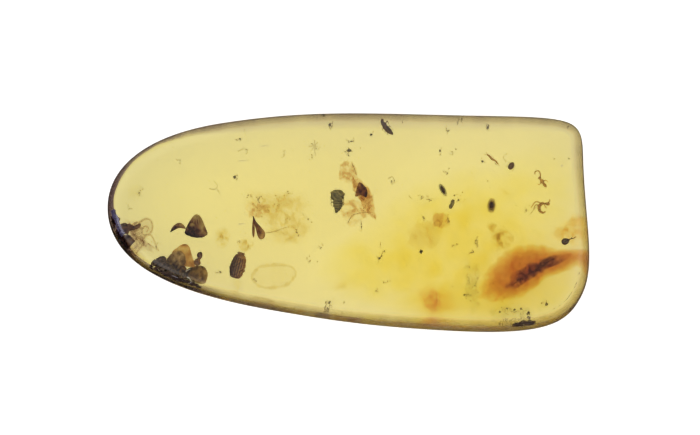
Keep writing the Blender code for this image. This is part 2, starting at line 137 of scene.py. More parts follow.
def girdle():
    """Evenly spaced points of the widest outline, the way out at each, and its radius there."""
    curve = []
    for here, after in zip(GIRDLE_ANCHORS, GIRDLE_ANCHORS[1:] + GIRDLE_ANCHORS[:1], strict=True):
        start, end = Vector((here[0], here[1], 0)), Vector((after[0], after[1], 0))
        leave = Vector((math.cos(math.radians(here[2])), math.sin(math.radians(here[2])), 0)) * here[4]
        arrive = Vector((math.cos(math.radians(after[2])), math.sin(math.radians(after[2])), 0)) * after[3]
        curve += interpolate_bezier(start, start + leave, end - arrive, end, 240)[:-1]
    curve = np.array([(point.x, point.y) for point in curve])
    walked = np.vstack([curve, curve[:1]])
    run = np.concatenate([[0], np.cumsum(np.linalg.norm(np.diff(walked, axis=0), axis=1))])
    stops = np.linspace(0, run[-1], STONE_SIDES, endpoint=False)
    points = np.column_stack([np.interp(stops, run, walked[:, axis]) for axis in (0, 1)])
    along = (np.roll(points, -1, axis=0) - np.roll(points, 1, axis=0)) / 2
    bend = np.roll(points, -1, axis=0) - 2 * points + np.roll(points, 1, axis=0)
    speed = np.linalg.norm(along, axis=1)
    out = np.column_stack([-along[:, 1], along[:, 0]]) / speed[:, None]
    curvature = np.abs(along[:, 0] * bend[:, 1] - along[:, 1] * bend[:, 0]) / speed**3
    return points, out, 1 / np.maximum(curvature, 0.01)


def section(start, start_pull, end_pull, end, count):
    """Points of one stretch of the side's section, as inset and height."""
    bend = [Vector((*point, 0)) for point in (start, start_pull, end_pull, end)]
    return [(point.x, point.y) for point in interpolate_bezier(*bend, count)]


def flank(count):
    """The side's section from the girdle up over the shoulder, as inset and height."""
    rise = SHOULDER_HEIGHT - GIRDLE_HEIGHT
    full = (0, GIRDLE_HEIGHT + rise * SIDE_FULLNESS)
    turn = (SHOULDER_INSET * 0.4, SHOULDER_HEIGHT - 0.1)
    return section((0, GIRDLE_HEIGHT), full, turn, (SHOULDER_INSET, SHOULDER_HEIGHT), count)


def shoulder_lean(out, radius):
    """How wide the shoulder is at each point of the outline, as a share of its usual width."""
    lean = np.minimum(1 + SHOULDER_LEAN * out[:, 1], CORNER_SHARE * radius / SHOULDER_INSET)
    for _ in range(CORNER_SMOOTHINGS):
        lean = (np.roll(lean, 1) + 2 * lean + np.roll(lean, -1)) / 4
    return lean


def dip(point):
    """How far hand polishing left the dome and sides below their true shape there."""
    if point[2] <= GIRDLE_HEIGHT:
        return 0
    return POLISH_WAVE * (
        noise.noise(Vector(point) / POLISH_WAVE_LENGTH) - 0.9
    ) * min(1, (point[2] - GIRDLE_HEIGHT) / 2)


def new_material(name, inputs):
    """A material with its tree and its shader, and the shader's inputs set."""
    material = bpy.data.materials.new(name)
    material.use_nodes = True
    shader = material.node_tree.nodes["Principled BSDF"]
    for key, value in inputs.items():
        shader.inputs[key].default_value = value
    return material, material.node_tree, shader


def clear_body(name, index, tint, density):
    """A clear material of that refractive index, which takes colour out of what passes it."""
    inputs = {"Base Color": (1, 1, 1, 1), "Transmission Weight": 1.0, "Roughness": 0.0, "IOR": index}
    material, tree, shader = new_material(name, inputs)
    depth = add_node(tree, "ShaderNodeVolumeAbsorption", {"Color": linear(tint), "Density": density})
    tree.links.new(depth.outputs["Volume"], tree.nodes["Material Output"].inputs["Volume"])
    return material, tree, shader


def stone():
    """The whole stone: flat base, rounded foot, steep side, shoulder and low dome."""
    points, out, radius = girdle()
    middle = points.mean(axis=0)
    foot_share = np.minimum(1, CORNER_SHARE * radius / FOOT_INSET)
    shoulder_share = shoulder_lean(out, radius)
    for _ in range(CORNER_SMOOTHINGS):
        foot_share = (np.roll(foot_share, 1) + 2 * foot_share + np.roll(foot_share, -1)) / 4

    def ring(inset, height, share):
        return np.column_stack([points - out * (inset * share)[:, None], np.full(STONE_SIDES, height)])

    rings = []
    base = ring(FOOT_INSET, 0, foot_share)
    for share in (0.2, 0.5, 0.8):
        rings.append(np.column_stack([middle + (base[:, :2] - middle) * share, base[:, 2]]))
    foot = section(
        (FOOT_INSET, 0), (FOOT_INSET * FOOT_ROUNDNESS, 0), (0, GIRDLE_HEIGHT * FOOT_ROUNDNESS),
        (0, GIRDLE_HEIGHT), 18,
    )
    rings += [ring(inset, height, foot_share) for inset, height in foot]
    rings += [ring(inset, height, shoulder_share) for inset, height in flank(28)[1:]]
    shoulder = rings[-1]
    for share in (0.97, 0.93, 0.87, 0.8, 0.7, 0.6, 0.48, 0.36, 0.24, 0.12):
        dome = middle + (shoulder[:, :2] - middle) * share
        rise = (STONE_HEIGHT - SHOULDER_HEIGHT) * (1 - share**2)
        rings.append(np.column_stack([dome, np.full(STONE_SIDES, SHOULDER_HEIGHT + rise)]))
    shape = loft(rings)
    for point in shape[0]:
        point[2] += dip(point)
    return shape


# Polished Baltic-type amber: clear honey yellow that deepens with its thickness, with a glassy surface that
# only shows the faintest long waves of the buff.
amber, tree, shader = clear_body("polished_clear_amber", 1.54, "#f6ec68", 180.0)
place = add_node(tree, "ShaderNodeTexCoord")
buffing = add_node(
    tree, "ShaderNodeTexNoise", {"Vector": place.outputs["Object"], "Scale": 1 / (2.5 * MM), "Detail": 1.0}
)
wave = add_node(
    tree, "ShaderNodeBump", {"Height": buffing.outputs["Fac"], "Strength": 0.12, "Distance": 0.02 * MM}
)
tree.links.new(wave.outputs["Normal"], shader.inputs["Normal"])
whole_stone = piece("amber_stone", stone(), amber, ("amber_lower", "amber_upper")).data
surface_points = [point.co for point in whole_stone.vertices]
polish = BVHTree.FromPolygons(surface_points, [face.vertices for face in whole_stone.polygons])
FLUSH = 0.03  # mm


def ground_flush(mesh):
    """Brings what stands out of the stone in to just beneath its surface, as grinding cuts a sealed piece
    flush."""
    for point in mesh.vertices:
        near, facing, _, _ = polish.find_nearest(point.co)
        if (point.co - near).dot(facing) > -FLUSH * MM:
            point.co = near - facing * FLUSH * MM


# The skin: the plum-grey layer just under the steep side. Round the narrow tip it is the skin that weathering
# left, thick and ending sharply, as polishing took it away elsewhere. Along the rest of the side it is a thin
# film that fades over the shoulder, and there it is painted shade that darkens the band along the edge.
# Under it a pale veil along the lower edge is partly cloudy amber and partly a painted sheen.
SKIN_GAP = 0.02
SKIN_FOOT = 2.9
CLOUD_GAP = 3 * SKIN_GAP
CLOUD_FOOT = 1.2
SKIN_STEPS = 26
SKIN_BANDS = [  # way round clockwise from the tip, thickness, reach over the shoulder, how bluntly it ends
    (-48.0, 0.01, 0.9, 1.6), (-30.0, 0.006, 0.8, 1.6), (-14.0, 0.012, 0.5, 1.6), (-8.0, 0.07, 0.36, 5.0),
    (-5.0, 0.1, 0.34, 6.0), (-4.0, 0.122, 0.5, 6.0), (-3.0, 0.138, 0.8, 8.0), (-1.5, 0.14, 0.98, 8.0),
    (-0.6, 0.142, 0.72, 8.0), (0.2, 0.14, 0.66, 8.0), (2.4, 0.14, 0.74, 6.0), (4.2, 0.12, 0.64, 4.0),
    (6.7, 0.105, 0.62, 2.4), (10.0, 0.088, 1.0, 1.3), (14.0, 0.07, 1.5, 1.0), (23.0, 0.058, 1.75, 0.9),
    (31.0, 0.052, 1.75, 0.9), (39.6, 0.04, 1.4, 1.3), (43.0, 0.03, 1.3, 1.2), (48.0, 0.016, 1.2, 1.4),
]
CLOUD_BANDS = [  # the same way round: thickness, reach, bluntness; its thickness is also how cloudy it is
    (-48.0, 0.014, 1.2, 1.0), (-44.0, 0.03, 1.1, 0.8), (-30.0, 0.044, 1.1, 0.7), (-20.0, 0.04, 1.0, 0.7),
    (-12.0, 0.024, 0.8, 0.8), (-7.0, 0.006, 0.5, 1.2), (-4.0, 0.004, 0.4, 1.2), (5.0, 0.004, 0.4, 1.2),
    (12.0, 0.01, 0.9, 1.2), (40.0, 0.014, 1.2, 1.2), (48.0, 0.014, 1.2, 1.2),
]


def hoop(bands, gap, foot):
    """A closed hoop just inside the side of the stone from the foot's height up, as thick and as wide as
    its bands give. Its tone is how thick it is."""
    points, out, radius = girdle()
    lean = shoulder_lean(out, radius)
    step = np.linalg.norm(points[1] - points[0])
    half = STONE_SIDES // 2
    way_round = ((np.arange(STONE_SIDES) + half) % STONE_SIDES - half) * step
    places, *columns = np.array(bands).T
    thick, reach, blunt = [np.interp(way_round, places, column) for column in columns]
    low = section(
        (FOOT_INSET * 0.6, 0), (FOOT_INSET * FOOT_ROUNDNESS, 0), (0, GIRDLE_HEIGHT * FOOT_ROUNDNESS),
        (0, GIRDLE_HEIGHT), 60,
    )
    side = np.array(low[:-1] + flank(160))
    loops, tones = [], []
    for i, (place, way) in enumerate(zip(points, out, strict=True)):
        line = side * (lean[i], 1)
        line = line[(line[:, 0] < reach[i]) & (line[:, 1] > foot)]
        line = line[np.linspace(0, len(line) - 1, SKIN_STEPS).astype(int)]
        along = np.gradient(line, axis=0)
        inward = np.column_stack([along[:, 1], -along[:, 0]]) / np.linalg.norm(along, axis=1)[:, None]
        depth = 1 - np.where(line[:, 1] > GIRDLE_HEIGHT, line[:, 0] / line[-1, 0], 0) ** blunt[i]
        depth *= thick[i] * np.clip(line[:, 1] - line[0, 1], 0, 1)
        depth *= 1 + 0.3 * noise.fractal(Vector((*place, 0)) / 1.5, 1.0, 2.0, 3)
        outer = line + inward * gap
        inner = outer + inward * depth[:, None]
        loop = np.vstack([outer, inner[-2:0:-1]])
        loops.append([(*(place - way * inset), height) for inset, height in loop])
        tones.append(np.concatenate([depth, depth[-2:0:-1]]))
    count = len(loops[0])
    faces = []
    for i in range(len(loops)):
        here, after = i * count, (i + 1) % len(loops) * count
        faces += [
            (here + k, here + (k + 1) % count, after + (k + 1) % count, after + k) for k in range(count)
        ]
    shape = np.array(loops).reshape(-1, 3)
    for point in shape:
        point[2] += dip(point)
    return shape, faces, np.concatenate(tones)


def see_through(name, tint, density):
    """A body of the amber's own index, which only takes colour out of what passes it."""
    return clear_body(name, 1.0, tint, density)[0]


# Painted shade: away from the tip this thin plum-grey layer darkens the band along the stone's edge.
skin_and_painted_edge_shade = see_through("amber_skin_and_painted_edge_shade", "#783fac", 13000.0)
piece("skin_and_painted_edge_shade", hoop(SKIN_BANDS, SKIN_GAP, SKIN_FOOT), skin_and_painted_edge_shade)

# Cloudy amber and painted sheen: a pale yellow veil of fine bubbles, as strong as it is thick, which also
# stands in for the pale sheen along the lower edge.
cloudy_rim_and_painted_sheen, tree, shader = new_material("cloudy_amber_and_painted_sheen", {"Roughness": 0.8, "Specular IOR Level": 0.0})
place = add_node(tree, "ShaderNodeTexCoord")
drift = add_node(
    tree, "ShaderNodeTexNoise", {"Vector": place.outputs["Object"], "Scale": 1 / (0.5 * MM), "Detail": 3.0}
)
pale = add_node(
    tree, "ShaderNodeValToRGB", {"Fac": drift.outputs["Fac"]}, [(0.3, "#f0cc84"), (0.7, "#fff0bc")]
)
tree.links.new(pale.outputs["Color"], shader.inputs["Base Color"])
cloudiness = add_node(tree, "ShaderNodeAttribute", attribute_name="tone")
veil = add_node(tree, "ShaderNodeMath", {0: cloudiness.outputs["Fac"], 1: 12.0}, operation="MULTIPLY")
tree.links.new(veil.outputs["Value"], shader.inputs["Alpha"])
piece("cloudy_rim_and_painted_sheen", hoop(CLOUD_BANDS, CLOUD_GAP, CLOUD_FOOT), cloudy_rim_and_painted_sheen)


# The ridged beetle: the largest whole insect, lying on its side by the heap. Its wing cases carry lengthwise
# ridges, and its legs and feelers are drawn in.


def eased(anchors, count, closed=False):
    """Rows of numbers read off a smooth curve through the anchor rows."""
    rows = np.array(anchors, float)
    last = len(rows) - 1
    made = []
    for place in np.linspace(0, len(rows) if closed else last, count, endpoint=not closed):
        i = int(place) if closed else min(int(place), last - 1)
        picked = [i - 1, i, i + 1, i + 2]
        picked = [k % len(rows) for k in picked] if closed else np.clip(picked, 0, last)
        a, b, c, d = rows[picked]
        t = place - i
        made.append(
            ((-a + 3 * b - 3 * c + d) * t**3 + (2 * a - 5 * b + 4 * c - d) * t**2 + (c - a) * t + 2 * b) / 2
        )
    return np.array(made)


THINNEST = 0.008  # the least half width of a swept body


def body(stations, count=40, sides=32, ridges=0, ridge_depth=0.0, belts=0, belt_depth=0.0, rough=0.0):
    """A skin swept along its stations (x, y, z, half width, half height), with ridges along it and belts
    across it. Its tone is low in the grooves."""
    path = eased(stations, count)
    along = np.gradient(path[:, :3], axis=0)
    along /= np.linalg.norm(along, axis=1)[:, None]
    side = np.cross((0, 0, 1), along)
    side /= np.linalg.norm(side, axis=1)[:, None] + 1e-9
    up = np.cross(along, side)
    angles = math.tau * np.arange(sides) / sides
    rings, tones = [], []
    for step, (x, y, z, width, height) in enumerate(path):
        share = step / (count - 1)
        belt = abs(math.cos(math.pi * belts * share)) ** 6 if belts else 0
        ridge = np.abs(np.cos(ridges * angles / 2)) ** 6 if ridges else 0 * angles
        reach = 1 - ridge_depth * ridge - belt_depth * belt
        lumps = 0 * angles
        if rough:
            spots = [
                Vector((x, y + math.cos(a) * width, z + math.sin(a) * height)) / rough[0] for a in angles
            ]
            lumps = rough[1] * np.array([noise.fractal(spot, 0.8, 2.0, 3) for spot in spots])
            reach = reach + lumps
        across = np.cos(angles) * max(width, THINNEST) * reach
        high = np.sin(angles) * max(height, THINNEST) * reach
        rings.append(np.array((x, y, z)) + across[:, None] * side[step] + high[:, None] * up[step])
        tones.append(0.62 - 0.45 * np.maximum(ridge, belt) + 1.2 * lumps)
    points, faces = loft(rings)
    return points, faces, np.concatenate([*tones, [0.5, 0.5]])


def thread(line, thick, thin, count=14, sides=6):
    """A leg, feeler, hair or stalk along the line, from thick to thin."""
    radii = np.linspace(thick, thin, len(line))
    return body([(*point, r, r) for point, r in zip(line, radii, strict=True)], count, sides)


def fused(*shapes):
    """Several shapes as one mesh."""
    points, faces, tones = [], [], []
    for shape in shapes:
        start = sum(len(p) for p in points)
        points.append(shape[0])
        faces += [tuple(start + i for i in face) for face in shape[1]]
        tones.append(shape[2])
    return np.vstack(points), faces, np.concatenate(tones)


def laid(shape, x, y, z, turn=0.0, lean=0.0, roll=0.0):
    """The shape turned in degrees and put in its place in the stone."""
    turned = np.array(Euler([math.radians(a) for a in (lean, roll, turn)]).to_matrix())
    return np.array(shape[0]) @ turned.T + (x, y, z), shape[1], *shape[2:]


def shaded(shape, *ways):
    """The shape with its tone raised towards each way: (x, y, z, how much), in the shape's own frame."""
    points = np.array(shape[0])
    size = np.abs(points - points.mean(axis=0)).max()
    tone = np.array(shape[2])
    for x, y, z, much in ways:
        tone = tone + much * ((points - points.mean(axis=0)) / size) @ np.array((x, y, z))
    return points, shape[1], tone


def dry_surface(name, stops, grain, roughness, relief=0.3, clear=0.0, index=1.5):
    """A dry natural surface. Its colour runs through the stops with the piece's tone, mottled at its grain
    size."""
    inputs = {"Roughness": roughness, "Transmission Weight": clear, "IOR": index}
    material, tree, shader = new_material(name, inputs)
    place = add_node(tree, "ShaderNodeTexCoord")
    mottle = add_node(
        tree, "ShaderNodeTexNoise",
        {"Vector": place.outputs["Object"], "Scale": 1 / (grain * MM), "Detail": 4.0, "Roughness": 0.6},
    )
    tone = add_node(tree, "ShaderNodeAttribute", attribute_name="tone")
    low = add_node(tree, "ShaderNodeMath", {0: tone.outputs["Fac"], 1: 0.3}, operation="SUBTRACT")
    mixed = add_node(
        tree, "ShaderNodeMath", {0: mottle.outputs["Fac"], 1: 0.6, 2: low.outputs["Value"]},
        operation="MULTIPLY_ADD",
    )
    colour = add_node(tree, "ShaderNodeValToRGB", {"Fac": mixed.outputs["Value"]}, stops)
    bump = add_node(
        tree, "ShaderNodeBump",
        {"Height": mottle.outputs["Fac"], "Strength": relief, "Distance": grain * 0.3 * MM},
    )
    tree.links.new(colour.outputs["Color"], shader.inputs["Base Color"])
    tree.links.new(bump.outputs["Normal"], shader.inputs["Normal"])
    return material


# Insect chitin: hard and slightly glossy. The yellow of the amber over it takes the blue away, so a plum
# colour underneath reads as brown.
brown_chitin = dry_surface(
    "brown_insect_chitin", [(0.1, "#281618"), (0.38, "#503032"), (0.62, "#805844"), (0.95, "#c89868")], 0.12,
    0.3,
)
wing_cases = body(
    [(0, -1.03, 0, 0.16, 0.1), (0, -0.95, 0, 0.38, 0.22), (0, -0.55, 0, 0.55, 0.34), (0, 0.05, 0, 0.58, 0.38),
     (0, 0.45, 0, 0.5, 0.34), (0, 0.56, 0, 0.4, 0.26)],
    count=60, sides=120, ridges=18, ridge_depth=0.04, rough=(0.2, 0.12),
)
fore_body = body(
    [(0, 0.48, 0, 0.38, 0.24), (0, 0.6, 0, 0.46, 0.29), (0, 0.78, 0, 0.38, 0.25), (0, 0.84, 0, 0.28, 0.19),
     (0, 0.94, 0, 0.25, 0.17), (0, 1.03, 0, 0.12, 0.08)],
    count=30, sides=48, rough=(0.12, 0.04),
)
drawn_legs = [
    thread([(s * 0.2, y, -0.24), (s * 0.46, y + 0.08, -0.28), (s * 0.5, y - 0.22, -0.24)], 0.05, 0.025)
    for s in (-1, 1) for y in (0.5, 0.1, -0.35)
]
feelers = [
    thread([(s * 0.1, 0.95, 0), (s * 0.2, 1.03, 0), (s * 0.32, 0.9, -0.1)], 0.03, 0.02) for s in (-1, 1)
]
ridged_beetle = shaded(
    fused(wing_cases, fore_body, *drawn_legs, *feelers), (1, 0, 0.2, 0.6), (0, 0.4, 0, 0.2)
)
piece("ridged_beetle", laid(ridged_beetle, -8.6, -3.55, 4.4, -15), brown_chitin, ["beetle"])


# The blunt bug: a short grey-olive insect in the middle of the stone, broad at its head and drawn out to a
# point.
olive_chitin = dry_surface(
    "olive_insect_chitin", [(0.15, "#2a2824"), (0.4, "#5c5644"), (0.65, "#948a64"), (0.95, "#c8bc88")], 0.1,
    0.4,
)
blunt_bug = fused(
    body([(0.0, 0.92, 0, 0.2, 0.12), (0.0, 0.8, 0, 0.4, 0.24), (0.0, 0.48, 0, 0.52, 0.32),
          (0.02, 0.22, 0, 0.46, 0.28), (0.03, 0.12, 0, 0.37, 0.24)],
         count=40, sides=60, rough=(0.2, 0.34)),
    body([(0.03, 0.16, 0, 0.36, 0.24), (0.03, -0.2, 0, 0.38, 0.26), (0.0, -0.5, 0, 0.3, 0.2),
          (-0.12, -0.9, 0, 0.05, 0.05)],
         count=48, sides=40, belts=7, belt_depth=0.12, rough=(0.16, 0.16)),
    *[thread([(s * 0.3, y, -0.1), (s * 0.5, y - 0.1, -0.1), (s * 0.46, y - 0.32, -0.1)], 0.04, 0.02)
      for s in (-1, 1) for y in (0.3, 0.0)],
)
blunt_bug = shaded(blunt_bug, (0.2, 0, 0, 0.2))
piece("blunt_bug", laid(blunt_bug, -0.85, 1.35, 4.6), olive_chitin, ["stub_bug"])


# The narrow beetle near the long upper edge: black-brown, with a small head, a waist and tapering wing cases.
dark_chitin = dry_surface(
    "black_brown_insect_chitin", [(0.1, "#1e1614"), (0.42, "#44322a"), (0.7, "#78583c"), (1.0, "#b08c58")],
    0.1, 0.3,
)
narrow_beetle = fused(
    body([(-0.64, 0, 0, 0.06, 0.05), (-0.54, 0, 0, 0.12, 0.1), (-0.42, 0, 0, 0.11, 0.09),
          (-0.36, 0, 0, 0.15, 0.12), (-0.26, 0, 0, 0.19, 0.15), (-0.18, 0, 0, 0.16, 0.13)],
         count=26, sides=32),
    body([(-0.22, 0, 0, 0.15, 0.13), (0.1, 0, 0, 0.22, 0.18), (0.45, 0, 0, 0.14, 0.11),
          (0.64, 0, 0, 0.03, 0.03)],
         count=30, sides=64, ridges=14, ridge_depth=0.08),
    *[thread([(x, s * 0.1, -0.08), (x + 0.05, s * 0.27, -0.1), (x + 0.22, s * 0.3, -0.1)], 0.025, 0.012)
      for s in (-1, 1) for x in (-0.3, -0.05, 0.2)],
)
narrow_beetle = laid(narrow_beetle, 3.05, 7.0, 4.6, -42)
piece("narrow_beetle", narrow_beetle, dark_chitin, ["slender_beetle"])


# The springtail and the mite, side by side towards the square end: one a row of soft rings, one a hard bead.
# Soft, thin skins let some light through, and read as tan where they are thinnest.
shrunken_skin = dry_surface(
    "shrunken_fly_skin", [(0.1, "#745434"), (0.4, "#b08450"), (0.7, "#d6b074"), (1.0, "#f0dcac")], 0.08, 0.4,
    clear=0.72, index=1.05,
)
ringed = [
    (-0.54 + 0.108 * i, 0.03 * math.sin(i), 0, 0.1 * (1 - 0.5 * abs(i - 4) / 6),
     0.1 * (1 - 0.5 * abs(i - 4) / 6))
    for i in range(11)
]
springtail = fused(
    body(ringed, count=60, sides=20, belts=10, belt_depth=0.3, rough=(0.08, 0.08)),
    thread([(-0.52, 0.02, 0), (-0.66, 0.1, 0.02), (-0.74, 0.08, 0.02)], 0.022, 0.012),
    thread([(-0.52, -0.02, 0), (-0.68, -0.06, 0.02), (-0.74, -0.14, 0.02)], 0.022, 0.012),
    thread([(0.5, 0, 0), (0.62, -0.04, -0.02), (0.76, -0.02, 0)], 0.02, 0.008),
    thread([(-0.2, 0.06, 0), (-0.22, 0.18, 0)], 0.02, 0.012),
    thread([(0.0, 0.06, 0), (0.02, 0.19, 0)], 0.02, 0.012),
)
piece("springtail_body", laid(springtail, 11.3, 4.65, 4.8, -38), shrunken_skin, ["springtail"])
mite_stations = [
    (-0.32, 0, 0, 0.05, 0.04), (-0.26, 0, 0, 0.14, 0.12), (-0.02, 0, 0, 0.22, 0.18), (0.2, 0, 0, 0.17, 0.14),
    (0.32, 0, 0, 0.05, 0.04),
]
mite = fused(
    body(mite_stations, count=26, sides=32, rough=(0.1, 0.05)),
    *[thread([(x, s * 0.12, -0.05), (x - 0.03, s * 0.26, -0.03), (x - 0.1, s * 0.3, -0.08)], 0.02, 0.01)
      for s in (-1, 1) for x in (-0.2, -0.08, 0.06, 0.18)],
)
piece("mite_body", laid(mite, 12.75, 4.2, 4.5, 58), dark_chitin, ["mite"])


# Two small flies near the square end, both brown and badly shrunk: a gnat with one long looped feeler, and a
# midge curled round on itself with its legs thrown out to one side.
gnat = fused(
    body([(-0.5, 0, 0, 0.05, 0.05), (-0.4, 0, 0, 0.13, 0.12), (-0.26, 0, 0, 0.08, 0.08),
          (-0.08, 0, 0, 0.17, 0.16), (0.1, 0, 0, 0.09, 0.09)],
         count=30, sides=24, rough=(0.1, 0.1)),
    body([(0.06, 0, 0, 0.09, 0.09), (0.32, 0, 0, 0.13, 0.11), (0.5, 0, 0, 0.04, 0.04)], count=30, sides=24,
         belts=5, belt_depth=0.2),
    thread([(-0.4, 0.02, 0), (-0.62, 0.22, 0), (-0.9, 0.24, 0), (-1.0, 0.0, 0), (-0.84, -0.14, 0)], 0.055,
           0.04, 26),
    thread([(-0.05, 0.1, -0.05), (0.05, 0.32, -0.1), (0.25, 0.34, -0.1)], 0.04, 0.02),
    thread([(-0.05, -0.1, -0.05), (0.0, -0.3, -0.1), (-0.12, -0.42, -0.1)], 0.04, 0.02),
)
piece("shrunken_gnat", laid(gnat, 15.2, 2.9, 4.8, -55), shrunken_skin, ["gnat"])
midge = fused(
    body([(0.52, 0.28, 0, 0.04, 0.05), (0.42, 0.2, 0, 0.15, 0.14), (0.16, 0.22, 0, 0.08, 0.09),
          (-0.06, 0.22, 0, 0.13, 0.12), (-0.28, -0.02, 0, 0.14, 0.13), (-0.24, -0.34, 0, 0.12, 0.11),
          (0.0, -0.5, 0, 0.09, 0.09), (0.22, -0.4, 0, 0.04, 0.04)],
         count=70, sides=20, belts=12, belt_depth=0.25, rough=(0.1, 0.12)),
    thread([(-0.1, 0.2, 0), (-0.55, 0.36, 0), (-0.92, -0.12, 0)], 0.05, 0.03, 20),
    thread([(-0.2, 0.05, 0), (-0.56, 0.1, 0), (-0.72, -0.24, 0)], 0.05, 0.03, 20),
    thread([(0.1, 0.2, 0), (0.18, 0.0, 0.02), (0.3, -0.14, 0)], 0.045, 0.03),
    thread([(0.42, 0.3, 0), (0.56, 0.44, 0.05), (0.5, 0.56, 0.05)], 0.045, 0.03),
)
piece("curled_midge", laid(midge, 15.2, 1.0, 4.7), shrunken_skin, ["midge"])


# The fly pupa and the silk cocoon. The cocoon is a papery shell, so its rim looks darker than its middle,
# and a dark grub lies inside it.
pupa_stations = [
    (-0.56, 0, 0, 0.05, 0.05), (-0.42, 0, 0, 0.18, 0.16), (-0.05, 0, 0, 0.25, 0.22), (0.3, 0, 0, 0.19, 0.16),
    (0.56, 0, 0, 0.05, 0.05),
]
pupa = body(pupa_stations, count=50, sides=28, belts=9, belt_depth=0.12)
pupal_skin = see_through("olive_pupal_skin", "#5c5024", 4200.0)
piece("fly_pupa", laid(pupa, 7.4, 2.3, 4.2, -62), pupal_skin, ["pupa"])
shrunken_fly = body(
    [(-0.34, 0, 0, 0.05, 0.05), (-0.1, 0.02, 0, 0.13, 0.11), (0.14, -0.02, 0, 0.1, 0.09),
     (0.32, 0, 0, 0.03, 0.03)],
    count=40, sides=20, rough=(0.1, 0.2),
)
piece("pupa_content", laid(shrunken_fly, 7.4, 2.3, 4.2, -62), dark_chitin)

cocoon_stations = [
    (0, -0.58, 0, 0.12, 0.1), (0, -0.46, 0, 0.26, 0.22), (0, 0.0, 0, 0.36, 0.3), (0, 0.44, 0, 0.25, 0.21),
    (0, 0.58, 0, 0.12, 0.1),
]
papery_silk = see_through("papery_cocoon_silk", "#a08850", 2600.0)
cocoon = body(cocoon_stations, count=50, sides=50, rough=(0.15, 0.12))
piece("silk_cocoon", laid(cocoon, 11.2, 1.1, 4.3, -4), papery_silk, ["cocoon"])
inner_silk = see_through("brown_inner_silk", "#84542c", 4200.0)
inner_coat = body(
    [(0, -0.42, 0, 0.08, 0.08), (0, -0.3, 0, 0.2, 0.17), (0, 0.02, 0, 0.27, 0.22), (0, 0.3, 0, 0.18, 0.15),
     (0, 0.42, 0, 0.07, 0.07)],
    count=40, sides=40, rough=(0.12, 0.2),
)
piece("inner_cocoon", laid(inner_coat, 11.2, 1.08, 4.3, -4), inner_silk)
grub = body(
    [(0.03, -0.24, 0, 0.05, 0.05), (0.04, -0.08, 0, 0.13, 0.11), (-0.03, 0.1, 0, 0.12, 0.1),
     (0, 0.24, 0, 0.05, 0.05)],
    count=40, sides=24, rough=(0.08, 0.3),
)
piece("cocoon_grub", laid(grub, 11.18, 1.12, 4.3, -20), dark_chitin)


# Wings, scales and husks: thin, stiff leftovers of insects and buds. They are translucent, redder where thin.


def scrap(outline, thickness, crown=0.0, wrinkle=0.0, grain=0.5, fray=0.0, seed=0, count=72, rings=10):
    """A thin scrap with the given outline, bowed up by its crown, wrinkled at its grain size, frayed at its
    edge."""
    edge = eased(outline, count, closed=True)
    middle = edge.mean(axis=0)
    frays = [1 + fray * noise.noise(Vector((*point, seed)) / (grain * 0.3)) for point in edge]
    edge = middle + (edge - middle) * np.array(frays)[:, None]
    shares = np.linspace(0.08, 1, rings)
    made, tones = [], []
    for side, order in ((1, shares[:-1]), (0, shares[-1:]), (-1, shares[-2::-1])):
        for share in order:
            flat = middle + (edge - middle) * share
            folds = np.array([noise.noise(Vector((*point, seed)) / grain) for point in flat])
            half = side * thickness / 2 * math.sqrt(1 - share**4)
            made.append(np.column_stack([flat, crown * (1 - share**2) + wrinkle * folds + half]))
            tones.append(0.55 + 0.5 * folds - 0.15 * share**6)
    points, faces = loft(made)
    return points, faces, np.concatenate([*tones, [tones[0].mean(), tones[-1].mean()]])


red_membrane = dry_surface(
    "red_brown_wing_membrane", [(0.1, "#44261e"), (0.42, "#845038"), (0.7, "#b88a5c"), (1.0, "#dcba88")],
    0.15, 0.35, clear=0.45, index=1.05,
)
broad_wing = scrap(
    [(-0.4, 0.9), (-0.1, 0.4), (0.26, 0.0), (0.56, -0.42), (0.5, -0.8), (0.22, -0.94), (0.0, -0.72),
     (-0.18, -0.1), (-0.34, 0.4)],
    thickness=0.1, crown=0.05, wrinkle=0.05, grain=0.4, seed=3,
)
narrow_wing = scrap(
    [(-0.36, 0.84), (-0.28, 0.3), (-0.24, -0.3), (-0.3, -0.74), (-0.4, -0.72), (-0.46, -0.3), (-0.44, 0.3)],
    thickness=0.08, crown=0.04, grain=0.4, seed=4,
)
veins = [
    thread([(-0.36, 0.84, 0.1), (-0.05, 0.2, 0.12), (0.3, -0.5, 0.1)], 0.02, 0.01),
    thread([(-0.34, 0.8, 0.1), (-0.12, 0.0, 0.12), (0.12, -0.7, 0.1)], 0.02, 0.01),
]
wings = shaded(fused(broad_wing, narrow_wing, *veins), (-1, 0, 0, -0.3), (0.4, -0.8, 0, 0.25))
piece("membrane_wings", laid(wings, -7.05, -0.65, 4.8), red_membrane, ["wing_pair"])

